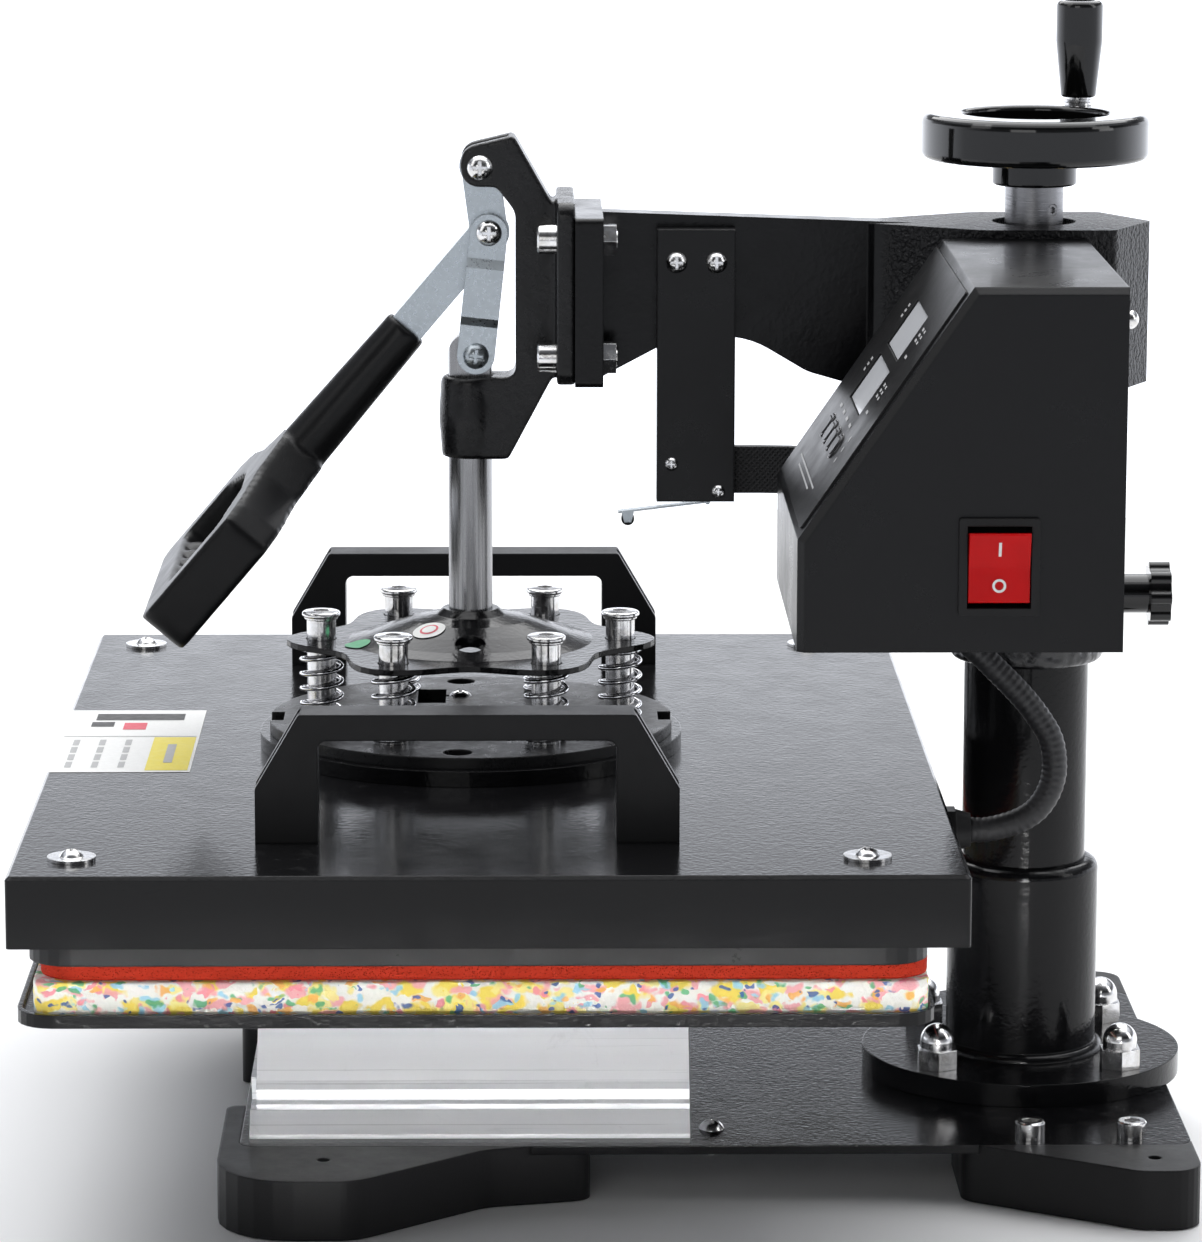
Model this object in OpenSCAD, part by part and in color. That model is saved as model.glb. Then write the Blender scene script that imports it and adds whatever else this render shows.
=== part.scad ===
// Swing-away heat press. Millimetres, +Z up, +X to the operator's right, the operator at -Y.
// The origin is on the bench plane, in the middle of the four bench-screw holes.

/* [Base] */
// Width of the base plate
base_w = 200; // [190:1:204]
// Length of the base plate, front to rear
base_len = 317; // [312:1:322]
// Height of the four feet, which is also the top of the base plate
foot_h = 20; // [20:1:22]
// Distance between the bench-screw holes, left to right
bench_dx = 231; // [229:0.5:233]
// Distance between the bench-screw holes, front to rear
bench_dy = 274; // [272:0.5:276]

/* [Column] */
// Outside diameter of the column post
post_d = 42.7; // [42:0.1:43]
// Outside diameter of the column socket
socket_d = 52; // [50:0.5:54]
// Diameter of the socket's bolted flange
flange_d = 110.4; // [106:0.2:114]

/* [Platens] */
// Width of the heater cover, left to right
cover_w = 400; // [396:1:404]
// Depth of the heater cover, front to rear
cover_d = 300; // [298:1:302]
// Height of the heater cover's skirt
cover_h = 23; // [22:0.5:24]
// Thickness of the foam pad
foam_t = 11; // [10.5:0.1:11.2]
// Thickness of the silicone pad
silicone_t = 6; // [5.8:0.1:6.2]

/* [Press head] */
// Diameter of the press rod
rod_d = 15; // [14:0.1:15.2]
// Compression of the six springs when the press is closed
spring_travel = 6.8; // [6:0.1:7]
// Angle of the lever below level when the press is closed
lever_angle = 49.6; // [47:0.1:52]

/* [Control box] */
// Width of the control box, left to right
box_w = 132; // [130:1:134]
// Thickness of the control box's sheet steel
box_wall = 1.5; // [1.2:0.1:1.8]

/* [Hidden] */
$fn = 64;
tiny = 0.01;
// Radial clearance of a running fit
run = 0.06;
// Clearance between loose neighbours
gap = 0.4;

// Main axes
col_y = 103;            // column axis
press_y = -89;          // press rod axis
plate_t = 3;            // base plate thickness
plate_rear = 151.5;
plate_front = plate_rear - base_len;
flange_t = 8;
socket_top = 95.5;
post_top = 298;
bolt_off = 31.5;        // flange bolts, from the column axis in X and in Y

// Fasteners on the base
foot_screw_x = 91.5;
foot_screw_y = [98, 132];
front_screw_x = 70;
front_screw_y = [-150, -75];
rail_screw_x = 40;
rail_screw_y = [-140, -40];
stop_x = 79;
stop_y = -8;

// Slide
rail_front = -162.5;
rail_rear = -15.5;
shoulder_z = foot_h + 8;
tongue_top = shoulder_z + 9;

// Platen stack, bottom to top
tray_z = 85;
tray_t = 2.7;
pad_z = tray_z + tray_t;
silicone_z = pad_z + foam_t;
plate_z = silicone_z + silicone_t;
platen_mid = -86;
heater_t = 12.3;
cover_z = 112.8;
cover_top = cover_z + cover_h;
cover_mid = -82;
cover_wall = 1.5;
corner_x = 176;
corner_dy = 125;
disc_r = 72.7;
disc_t = 5.4;
disc_top = cover_top + disc_t;
adapter_r = 69.5;
adapter_top = disc_top + 4;
bolt_r = 51.5;          // spring bolts' circle
spider_z = 170.5;       // underside of the spider plate, press closed
spider_t = 2;
bolt_head_z = spider_z + spider_t + spring_travel + 0.2;
handle_x = 147;
handle_w = 15;
handle_half = 67.5;
handle_h = 41.7;
cable_x = 85;

// Toggle linkage, [y, z] of each pivot with the press closed
pivot_top = [-85.5, 336];
pivot_mid = [-82.5, 313.5];
pivot_low = [-87, 271.5];
strap_len = norm(pivot_low - pivot_mid);
strap_tilt = atan2(pivot_mid.x - pivot_low.x, pivot_mid.y - pivot_low.y);
barrel_bottom = 236.2;
barrel_top = 264.5;

// Arm
arm_front = -53.5;
plate_rear_y = -44;
arm_low = 262;
head_top = 317;
head_r = 28;            // half width of the arm's head round the column
sleeve_low = 166;
sleeve_r = 26.2;
shelf_z = 304;
washer_z = 310;
washer_t = 2;
collar_top = 329.6;
head_bolt_x = 20;
head_bolt_z = [273, 313];

// Handwheel
rim_r = 38.7;
rim_low = 338.5;
rim_top = 354;
crank_r = 31.6;
crank_dir = 147;        // from +X, round the column
knob_low = 356.9;
knob_top = 390;

// Control box
box_far = head_r;
box_near = box_far + box_w;
box_front = 15;
box_rear = 118;
box_low = 198.5;
box_top = 314.2;
slope_z = 234.2;          // lower end of the sloping panel
slope_y = 69.7;         // upper end of the sloping panel
slope_len = norm([slope_y - box_front, box_top - slope_z]);
slope_tilt = atan2(box_top - slope_z, slope_y - box_front);
bevel = 2.2;
rocker_y = 78.4;
rocker_z = 226;
key_s = 27;             // the row of keys, up the panel
key_x = [67, 82, 97, 112];
display_x = 93;
display_s = [48, 69.5];
display_size = [44, 17.5];
inlet_x = 84;
inlet_z = 222;

// Limit switch on the arm
bracket_y = [-25.5, 1];
bracket_z = [222.5, 315.5];
bracket_x = 14;
lever_pivot = [-8, 222];
roller_at = [-35.2, 216];

// Lock knob
knob_z = 188;

// Route of the heater cable, [y, z] at x = cable_x, from the box to the heater cover
cable_d = 8.5;
cable_route = [
    [68, 193.5], [71.5, 190.5], [75.5, 187], [80, 183], [85, 178], [90, 173], [95, 167.5],
    [99.5, 161.5], [103, 155.5], [104.5, 149], [104.5, 142.5], [102.5, 136], [98.5, 130.5],
    [93, 127], [87, 125], [82, 124], [77, 124]
];

// ---------------------------------------------------------------- helpers

function unit(v) = v / norm(v);

// Points of one rounded corner at p, between its neighbours a and b
function corner(a, p, b, r, n) =
    r <= 0 ? [p] :
    let (u = unit(a - p), v = unit(b - p),
         half = acos(max(-1, min(1, u * v))) / 2,
         c = p + unit(u + v) * r / sin(half),
         s = p + u * r / tan(half) - c,
         e = p + v * r / tan(half) - c,
         a0 = atan2(s.y, s.x),
         turn = atan2(e.y, e.x) - a0,
         sweep = turn > 180 ? turn - 360 : turn < -180 ? turn + 360 : turn)
    [for (i = [0 : n]) c + r * [cos(a0 + sweep * i / n), sin(a0 + sweep * i / n)]];

// An outline from [x, y, corner radius] points
function rounded(pts, n = 6) =
    let (k = len(pts))
    [for (i = [0 : k - 1])
        let (a = pts[(i + k - 1) % k], p = pts[i], b = pts[(i + 1) % k])
        each corner([a.x, a.y], [p.x, p.y], [b.x, b.y], p.z, n)];

function rect_pts(x0, y0, x1, y1, r) = rounded([[x0, y0, r], [x1, y0, r], [x1, y1, r], [x0, y1, r]]);

// Extrudes an outline drawn in [y, z] along X
module along_x(x0, x1) {
    translate([x0, 0, 0]) rotate([90, 0, 90]) linear_extrude(x1 - x0) children();
}

// Extrudes an outline drawn in [x, z] along Y
module along_y(y0, y1) {
    translate([0, y1, 0]) rotate([90, 0, 0]) linear_extrude(y1 - y0) children();
}

module rod_x(r, x0, x1, y, z) {
    translate([x0, y, z]) rotate([0, 90, 0]) cylinder(r = r, h = x1 - x0);
}

module rod_y(r, y0, y1, x, z) {
    translate([x, y0, z]) rotate([-90, 0, 0]) cylinder(r = r, h = y1 - y0);
}

module rod_z(r, z0, z1, x = 0, y = 0) {
    translate([x, y, z0]) cylinder(r = r, h = z1 - z0);
}

module mirrored_x() {
    children();
    mirror([1, 0, 0]) children();
}

// A low round head of radius r and height h, standing on z = 0
module dome(r, h) {
    big = (r * r + h * h) / (2 * h);
    intersection() {
        translate([0, 0, h - big]) sphere(r = big);
        cylinder(r = r + 1, h = h);
    }
}

// Cross recess of a Phillips head, sunk from z = 0
module cross(w, t, depth) {
    for (a = [0, 90])
        rotate([0, 0, a]) translate([-w / 2, -t / 2, -depth]) cube([w, t, depth + 1]);
}

// Pan head on z = 0 with its shank below
module pan_screw(head_r, head_h, shank_r, shank_len) {
    difference() {
        dome(head_r, head_h);
        translate([0, 0, head_h]) cross(head_r * 1.1, head_r * 0.28, head_h * 0.6);
    }
    translate([0, 0, -shank_len]) cylinder(r = shank_r, h = shank_len + tiny);
}

// Socket head cap screw, its head on z = 0 and its shank below
module cap_screw(head_r, head_h, key_r, shank_r, shank_len) {
    difference() {
        union() {
            cylinder(r = head_r, h = head_h - 0.6);
            translate([0, 0, head_h - 0.6]) cylinder(r1 = head_r, r2 = head_r - 0.6, h = 0.6);
        }
        translate([0, 0, head_h / 2]) cylinder(r = key_r, h = head_h, $fn = 6);
    }
    translate([0, 0, -shank_len]) cylinder(r = shank_r, h = shank_len + tiny);
}

// Hexagon nut from z = 0 up, with its bore
module hex_nut(r, h, bore_r) {
    difference() {
        cylinder(r = r, h = h, $fn = 6);
        translate([0, 0, -1]) cylinder(r = bore_r, h = h + 2);
    }
}

module at_flange_bolts() {
    for (sx = [-1, 1], sy = [-1, 1]) translate([sx * bolt_off, col_y + sy * bolt_off, 0]) children();
}

module at_spring_bolts() {
    for (a = [30 : 60 : 330]) translate([bolt_r * cos(a), press_y + bolt_r * sin(a), 0]) children();
}

module at_cover_corners() {
    for (sx = [-1, 1], y = [cover_mid - corner_dy - 6, cover_mid + corner_dy - 6])
        translate([sx * corner_x, y, 0]) children();
}

// Places children on the sloping panel: x along X, y up the slope, z out of it
module on_panel() {
    translate([0, box_front, slope_z])
        multmatrix([[1, 0, 0, 0],
                    [0, cos(slope_tilt), -sin(slope_tilt), 0],
                    [0, sin(slope_tilt), cos(slope_tilt), 0]])
            children();
}

// Places children on the lever: x along X, y off the lever, z down it from the middle pivot
module on_lever() {
    translate([0, pivot_mid.x, pivot_mid.y]) rotate([90 + lever_angle, 0, 0]) children();
}

// ---------------------------------------------------------------- base

module plate_outline(grow = 0) {
    half = base_w / 2 + grow;
    polygon(rect_pts(-half, plate_front - grow, half, plate_rear + grow, 6));
}

module base_plate() color([0.03, 0.03, 0.035]) {
    difference() {
        translate([0, 0, foot_h - plate_t]) linear_extrude(plate_t) plate_outline();
        at_flange_bolts() rod_z(4.3, 0, 30);
        for (sx = [-1, 1]) {
            for (y = foot_screw_y) rod_z(3.2, 0, 30, sx * foot_screw_x, y);
            for (y = front_screw_y) {
                rod_z(3.2, 0, 30, sx * front_screw_x, y);
                translate([sx * front_screw_x, y, foot_h - plate_t]) cylinder(r1 = 3.2, r2 = 6, h = plate_t + tiny);
            }
            for (y = rail_screw_y) rod_z(2.7, 0, 30, sx * rail_screw_x, y);
        }
        rod_z(2.2, 0, 30, stop_x, stop_y);
    }
}

// A foot of the given outline, with its rebate for the plate, bench hole and nut pockets
module foot(outline, bench_y, screw_x, screw_y) {
    color([0.06, 0.06, 0.065])
    difference() {
        linear_extrude(foot_h) polygon(rounded(outline));
        translate([0, 0, foot_h - plate_t]) linear_extrude(foot_h) plate_outline(0.2);
        rod_z(2.2, -1, foot_h + 1, bench_dx / 2, bench_y);
        for (y = screw_y) {
            rod_z(3.2, -1, foot_h, screw_x, y);
            translate([screw_x, y, -1]) cylinder(r = 6.2, h = 11, $fn = 6);
        }
    }
}

front_foot = [[50, -172, 4], [140.5, -172, 26], [140.5, -126, 18], [104, -84, 20], [95.5, -49, 6], [50, -49, 4]];
rear_foot = [[50, 75, 4], [97, 75, 8], [131, 131, 14], [131, 151.5, 10], [50, 151.5, 4]];

module front_right_foot() foot(front_foot, -bench_dy / 2, front_screw_x, front_screw_y);
module front_left_foot() mirror([1, 0, 0]) foot(front_foot, -bench_dy / 2, front_screw_x, front_screw_y);
module rear_right_foot() foot(rear_foot, bench_dy / 2, foot_screw_x, foot_screw_y);
module rear_left_foot() mirror([1, 0, 0]) foot(rear_foot, bench_dy / 2, foot_screw_x, foot_screw_y);

module acorn_nut() {
    difference() {
        union() {
            cylinder(r = 7.5, h = 6.8, $fn = 6);
            cylinder(r = 5.9, h = 9.5);
            translate([0, 0, 9.5]) sphere(r = 5.9);
        }
        translate([0, 0, -1]) cylinder(r = 4.1, h = 11);
    }
}

module base_fasteners() color([0.75, 0.76, 0.78]) {
    mirrored_x() {
        for (y = foot_screw_y) translate([foot_screw_x, y, foot_h]) cap_screw(5, 6, 2.9, 2.95, 16);
        for (y = front_screw_y) translate([front_screw_x, y, 0]) {
            translate([0, 0, foot_h - plate_t]) cylinder(r1 = 2.95, r2 = 5.8, h = plate_t - 0.1);
            rod_z(2.95, 4, foot_h - plate_t + tiny);
        }
        for (p = [for (y = foot_screw_y) [foot_screw_x, y], for (y = front_screw_y) [front_screw_x, y]])
            translate([p.x, p.y, 5]) hex_nut(5.8, 4.9, 3.02);
        for (y = rail_screw_y) {
            rod_z(4.6, foot_h - plate_t - 2.6, foot_h - plate_t, rail_screw_x, y);
            rod_z(2.45, foot_h - plate_t - tiny, foot_h + 5, rail_screw_x, y);
        }
    }
    at_flange_bolts() {
        translate([0, 0, foot_h - plate_t - 5]) cylinder(r = 7.5, h = 5, $fn = 6);
        rod_z(4, foot_h - plate_t - tiny, foot_h + flange_t + 9);
        translate([0, 0, foot_h + flange_t]) acorn_nut();
    }
    translate([stop_x, stop_y, foot_h]) {
        pan_screw(4.4, 3, 2, 9);
        translate([0, 0, -plate_t - 3.2]) hex_nut(4.2, 3.2, 2.05);
    }
}

module column_socket() color([0.03, 0.03, 0.035]) {
    r = socket_d / 2;
    difference() {
        union() {
            rod_z(flange_d / 2, foot_h, foot_h + flange_t, 0, col_y);
            translate([0, col_y, 0]) rotate_extrude() polygon(rounded([
                [10, foot_h, 0], [r, foot_h, 0], [r, socket_top, 3.5], [10, socket_top, 0]]));
            translate([0, col_y, foot_h + flange_t]) rotate_extrude() translate([r, 0]) circle(r = 2.6);
        }
        rod_z(post_d / 2 + 0.05, 0, 120, 0, col_y);
        at_flange_bolts() rod_z(4.3, 0, 40);
    }
}

module column_post() color([0.04, 0.04, 0.045]) {
    difference() {
        rod_z(post_d / 2, foot_h, post_top, 0, col_y);
        rod_z(post_d / 2 - 3, foot_h - 1, post_top - 20, 0, col_y);
        rod_z(8 + run, foot_h, post_top + 1, 0, col_y);
    }
}

// ---------------------------------------------------------------- lower platen and its slide

// Dovetail tongue, in [x, z]
module tongue(grow = 0) {
    polygon([[-70 - grow, shoulder_z - 1], [-70 - grow, shoulder_z], [-75 - grow, tongue_top + grow],
             [75 + grow, tongue_top + grow], [70 + grow, shoulder_z], [70 + grow, shoulder_z - 1]]);
}

module lower_rail() color([0.72, 0.73, 0.75]) {
    difference() {
        along_y(rail_front, rail_rear) polygon([
            [-91, foot_h], [91, foot_h], [91, foot_h + 1.5], [84, shoulder_z], [70, shoulder_z],
            [75, tongue_top], [-75, tongue_top], [-70, shoulder_z], [-84, shoulder_z], [-91, foot_h + 1.5]]);
        along_y(rail_front - 1, rail_rear + 1) translate([-60, foot_h + 6]) square([120, tongue_top - foot_h - 9]);
        for (sx = [-1, 1], y = rail_screw_y) rod_z(2.5, foot_h - 1, foot_h + 5.2, sx * rail_screw_x, y);
        mirrored_x() along_y(rail_front - 1, rail_rear + 1) translate([77.5, shoulder_z - 1.2]) square([4, 2]);
    }
}

module slide_carriage() color([0.74, 0.75, 0.77]) {
    side = [[84, shoulder_z, 0.5], [84, shoulder_z + 2, 0.4], [82, shoulder_z + 3, 0.3], [82, 34.5, 0.3],
            [79.5, 36.5, 2], [67, 52, 14], [62.5, 66, 8], [62.5, tray_z - 3, 1], [74, tray_z - 3, 0.5],
            [74, tray_z, 0.5]];
    flipped = [for (i = [len(side) - 1 : -1 : 0]) [-side[i].x, side[i].y, side[i].z]];
    difference() {
        along_y(rail_front + 2, rail_rear) polygon(rounded(concat(side, flipped)));
        along_y(rail_front - 1, rail_rear + 1) tongue(gap);
        along_y(rail_front - 1, rail_rear + 1) polygon([
            [-66, tongue_top + 4], [66, tongue_top + 4], [57, tray_z - 20], [57, tray_z - 4],
            [-57, tray_z - 4], [-57, tray_z - 20]]);
    }
}

module platen_tray() color([0.04, 0.04, 0.045]) {
    translate([0, platen_mid, tray_z]) difference() {
        linear_extrude(tray_t + 1.6) polygon(rect_pts(-191, -144.5, 191, 144.5, 12));
        translate([0, 0, tray_t]) linear_extrude(5) polygon(rect_pts(-189.4, -143, 189.4, 143, 11));
    }
}

module foam_pad() color([0.9, 0.87, 0.8]) {
    translate([0, platen_mid + 1.5, pad_z]) linear_extrude(foam_t) polygon(rect_pts(-187, -141, 187, 141, 7));
}

module silicone_pad() color([0.68, 0.16, 0.08]) {
    translate([0, platen_mid + 2.5, silicone_z]) linear_extrude(silicone_t)
        polygon(rect_pts(-185, -140, 185, 140, 12));
}

// ---------------------------------------------------------------- height adjustment

module thrust_washer() color([0.72, 0.6, 0.3]) {
    difference() {
        rod_z(13.9, washer_z, washer_z + washer_t, 0, col_y);
        rod_z(8.4, washer_z - 1, washer_z + 5, 0, col_y);
    }
}

module lead_screw() color([0.6, 0.6, 0.62]) {
    rod_z(8, 215, collar_top, 0, col_y);
    rod_z(6, collar_top - tiny, 343, 0, col_y);
}

// Zinc collar on the lead screw, with its own socket set screw
module stem_collar() color([0.66, 0.67, 0.68]) {
    low = washer_z + washer_t;
    screw_z = 321.5;
    turned = 35;
    difference() {
        rod_z(9.9, low, collar_top, 0, col_y);
        rod_z(8.05, low - 1, collar_top + 1, 0, col_y);
        translate([0, col_y, screw_z]) rotate([0, 90, turned]) cylinder(r = 2.05, h = 12);
    }
    translate([0, col_y, screw_z]) rotate([0, 90, turned]) difference() {
        translate([0, 0, 8.1]) cylinder(r = 2, h = 1.6);
        translate([0, 0, 8.9]) cylinder(r = 1.2, h = 2, $fn = 6);
    }
}

module at_crank() {
    translate([crank_r * cos(crank_dir), col_y + crank_r * sin(crank_dir), 0]) children();
}

module handwheel() color([0.02, 0.02, 0.02]) {
    difference() {
        translate([0, col_y, 0]) rotate_extrude() polygon(rounded([
            [6.05, collar_top, 0], [14.4, collar_top, 1], [14.4, rim_low, 1.5], [rim_r, rim_low, 2.5],
            [rim_r, rim_top, 3.2], [24.6, rim_top, 1.6], [24.6, rim_low + 5, 1.5], [6.05, rim_low + 5, 0]]));
        at_crank() rod_z(3.05, rim_low + 2, rim_top + 1);
    }
}

module crank_pin() color([0.75, 0.76, 0.78]) {
    at_crank() {
        rod_z(3, rim_low + 2, knob_top - 6);
        rod_z(4.6, rim_top, rim_top + 1.2);
        rod_z(5.2, rim_top + 1.2 - tiny, rim_top + 2.4);
        rod_z(4.6, knob_top - 6, knob_top - 4);
    }
}

module crank_handle() color([0.02, 0.02, 0.02]) {
    at_crank() difference() {
        rotate_extrude() polygon(rounded([
            [0, knob_low, 0], [6, knob_low, 1], [6.6, knob_low + 6, 20], [8, knob_top - 14, 20],
            [8, knob_top, 2], [0, knob_top, 0]]));
        rod_z(3 + run, knob_low - 1, knob_top);
        rod_z(5.3, knob_top - 6.4, knob_top + 1);
    }
}

// ---------------------------------------------------------------- swing arm

module swing_arm() color([0.03, 0.03, 0.035]) {
    web = [[arm_front, 264.3, 0], [plate_rear_y, 264.3, 0], [-22, 276, 18], [4, 279, 30], [26, 266, 18],
           [40, arm_low, 8], [col_y, arm_low, 0], [col_y, head_top, 0], [62, head_top, 0], [arm_front, 321, 0]];
    plan = [[5, 44, 12], [head_r, 84, 14], [head_r, 128, 3], [0, 143, 3], [-head_r, 128, 3], [-head_r, 84, 14],
            [-5, 44, 12]];
    difference() {
        union() {
            along_x(-5, 5) polygon(rounded(web));
            along_y(arm_front, plate_rear_y) polygon(rect_pts(-33, 264.3, 33, 321.3, 2));
            translate([0, 0, arm_low]) linear_extrude(head_top - arm_low) polygon(rounded(plan));
        }
        rod_z(post_d / 2 + run, 0, shelf_z, 0, col_y);
        rod_z(8 + run, 0, 400, 0, col_y);
        rod_z(14.25, washer_z, 400, 0, col_y);
        for (sx = [-1, 1], z = head_bolt_z) rod_y(3.05, arm_front - 1, plate_rear_y + 1, sx * head_bolt_x, z);
        at_box_screws() rod_x(2.05, -9, tiny, 0, 0);
        at_bracket_screws() rod_x(2.05, -20, 1, 0, 0);
    }
}

module at_box_screws() {
    for (y = [90, 108], z = [270, 300]) translate([head_r, y, z]) children();
}

module at_bracket_screws() {
    for (y = [-19, -5.5]) translate([5, y, 304.5]) children();
}

module column_sleeve() color([0.03, 0.03, 0.035]) {
    difference() {
        union() {
            translate([0, col_y, 0]) rotate_extrude() polygon(rounded([
                [10, sleeve_low, 0], [sleeve_r, sleeve_low, 2.5], [sleeve_r, arm_low, 0], [10, arm_low, 0]]));
            rod_y(9, col_y + 15, col_y + 29, 0, knob_z);
        }
        rod_z(post_d / 2 + run, sleeve_low - 1, arm_low + 1, 0, col_y);
        rod_y(4 + run, col_y, col_y + 40, 0, knob_z);
    }
}

module head_casting() color([0.04, 0.04, 0.042]) {
    side = [[-92, 342.5, 6], [-74, 346.8, 2], [-60.5, 323, 3], [-56, 318, 0], [-56, 268, 0], [-61, 264.3, 3],
            [-76, barrel_bottom, 2], [press_y, barrel_bottom, 0], [press_y, barrel_top, 0],
            [-73.5, barrel_top, 3], [-73.5, 321, 7], [-80, 329.4, 3], [-92, 329.4, 6]];
    r = rod_d / 2;
    difference() {
        union() {
            along_x(-9, 9) polygon(rounded(side));
            translate([0, press_y, 0]) rotate_extrude() polygon(rounded([
                [0, barrel_bottom, 0], [r + 2.1, barrel_bottom, 1], [r + 3.2, 250, 40],
                [r + 2.4, barrel_top, 2.5], [0, barrel_top, 0]]));
            along_y(-59.6, arm_front) polygon(rect_pts(-30, 264.3, 30, 326, 5));
        }
        rod_z(r + run, 200, barrel_top + 1, 0, press_y);
        along_x(-3.4, 3.4) translate([-96, 322]) square([20, 30]);
        rod_x(3.55, -12, 12, pivot_top.x, pivot_top.y);
        for (sx = [-1, 1], z = head_bolt_z) rod_y(3.05, -70, arm_front + 1, sx * head_bolt_x, z);
    }
}

module top_pivot_pin() color([0.78, 0.79, 0.8]) {
    rod_x(3.5, -9, 9, pivot_top.x, pivot_top.y);
    mirrored_x() translate([9 - tiny, pivot_top.x, pivot_top.y]) rotate([90, 0, 90]) difference() {
        dome(4.5, 2.8);
        translate([0, 0, 2.8]) cross(4.6, 1.2, 1.6);
    }
}

module arm_fasteners() color([0.76, 0.77, 0.79]) {
    // Socket screws and nuts that hold the head casting
    for (sx = [-1, 1], z = head_bolt_z) {
        translate([sx * head_bolt_x, -59.6, z]) rotate([90, 0, 0]) cap_screw(5, 6.6, 2.9, 2.95, 20.5);
        translate([sx * head_bolt_x, plate_rear_y, z]) rotate([-90, 0, 0]) hex_nut(5.8, 4.5, 3.02);
    }
    // Screws of the control box and of the switch bracket
    at_box_screws() translate([box_wall, 0, 0]) rotate([90, 0, 90]) pan_screw(3.6, 2.4, 1.95, 8);
    at_bracket_screws() translate([bracket_x - 5, 0, 0]) rotate([90, 0, 90]) pan_screw(3.7, 2.6, 1.95, 14);
    at_switch_screws() rotate([90, 0, 90]) pan_screw(2.3, 1.4, 1.15, 7.5);
    // Screws on the head's two rear faces
    for (sx = [-1, 1]) translate([sx * 14, 135.5, 285]) rotate([0, 0, sx * 61.8]) rotate([90, 0, 90])
        translate([0, 0, 0]) mirror([0, 0, sx > 0 ? 0 : 1]) dome(3.4, 2.4);
}

// ---------------------------------------------------------------- control box

// Section of the box in [y, z], its front, slope and top set in by inset, the other sides by back
function box_profile(inset, back) =
    let (c = cos(slope_tilt), n = sin(slope_tilt), t = tan(slope_tilt))
    [[box_front + inset, box_low + back],
     [box_front + inset, slope_z - inset * (c - (1 - n) * t)],
     [slope_y + inset * (n - (1 - c) / t), box_top - inset],
     [box_rear - back, box_top - inset],
     [box_rear - back, box_low + back]];

module control_box() color([0.02, 0.02, 0.022]) {
    difference() {
        hull() {
            along_x(box_far, box_near - bevel) polygon(box_profile(0, 0));
            along_x(box_near - bevel, box_near) polygon(box_profile(bevel, 0));
        }
        along_x(box_far - 1, box_near - box_wall) polygon(box_profile(box_wall, box_wall));
        along_x(box_near - 5, box_near + 5) translate([rocker_y - 11.2, rocker_z - 14]) square([22.4, 28]);
        on_panel() {
            for (s = display_s) translate([display_x, s, 0])
                cube([display_size.x + 0.6, display_size.y + 0.6, 8], center = true);
            for (x = key_x) translate([x, key_s, -4]) linear_extrude(8) key_outline(0.5);
        }
        translate([cable_x, cable_route[0].x - 6, box_low]) rotate([-130, 0, 0]) cylinder(r = 7, h = 30, center = true);
        translate([inlet_x - 14, box_rear - 5, inlet_z - 10.2]) cube([28, 10, 20.4]);
    }
}

module box_mount_plate() color([0.05, 0.05, 0.055]) {
    difference() {
        along_x(box_far, box_far + box_wall) polygon(box_profile(box_wall + 0.2, box_wall + 0.2));
        at_box_screws() rod_x(2.1, -5, 5, 0, 0);
        along_x(box_far - 1, box_far + 5) polygon(rect_pts(33, 224, 41, 242, 3));
    }
}

module panel_overlay() color([0.05, 0.05, 0.055]) {
    on_panel() difference() {
        linear_extrude(0.8) polygon(rect_pts(box_far + 4, 3, box_near - 7, slope_len - 3, 1.5));
        for (s = display_s) translate([display_x, s, 0])
            cube([display_size.x, display_size.y, 8], center = true);
        for (x = key_x) translate([x, key_s, -4]) linear_extrude(8) key_outline(0.3);
    }
}

// Circuit board with its two display modules
module display_board() color([0.55, 0.57, 0.6]) {
    on_panel() {
        translate([50, 12, -9]) cube([92, 74, 1.6]);
        for (s = display_s) translate([display_x - display_size.x / 2 + 0.3, s - display_size.y / 2 + 0.3, -7.5])
            cube([display_size.x - 0.6, display_size.y - 0.6, 7.7]);
        for (x = key_x) translate([x, key_s, -7.5]) cylinder(r = 3, h = 3.5);
    }
}

module key_outline(grow = 0) {
    polygon(rect_pts(-6 - grow, -4 - grow, 6 + grow, 4 + grow, 3));
}

module panel_key(x) color([0.08, 0.08, 0.09]) {
    on_panel() translate([x, key_s, 0]) {
        translate([0, 0, -2.9]) linear_extrude(4.2) key_outline();
        translate([0, 0, 1.3 - tiny]) linear_extrude(0.4) polygon(rect_pts(-5, -3, 5, 3, 2));
    }
}

module mode_key() panel_key(key_x[0]);
module up_key() panel_key(key_x[1]);
module down_key() panel_key(key_x[2]);
module start_key() panel_key(key_x[3]);

module rocker_bezel() color([0.04, 0.04, 0.04]) {
    difference() {
        union() {
            along_x(box_near, box_near + 1.8)
                polygon(rect_pts(rocker_y - 12.75, rocker_z - 15.6, rocker_y + 12.75, rocker_z + 15.6, 1));
            along_x(box_near - 20, box_near + 1) translate([rocker_y - 11, rocker_z - 13.8]) square([22, 27.6]);
        }
        along_x(box_near - 17, box_near + 5) translate([rocker_y - 10.1, rocker_z - 13.1]) square([20.2, 26.2]);
    }
}

// Rocker at rest in the off position, its lower half pressed in
module rocker_button() color([0.85, 0.03, 0.02]) {
    face = box_near + 1.6;
    along_y(rocker_y - 9.7, rocker_y + 9.7) polygon(rounded([
        [face - 12, rocker_z - 4, 2], [face - 4, rocker_z - 11.4, 0.5], [face, rocker_z - 11.4, 0.6],
        [face, rocker_z, 3], [face + 3.2, rocker_z + 11.4, 0.6], [face - 4, rocker_z + 10.4, 0.5],
        [face - 12, rocker_z + 4, 2]]));
}

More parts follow.
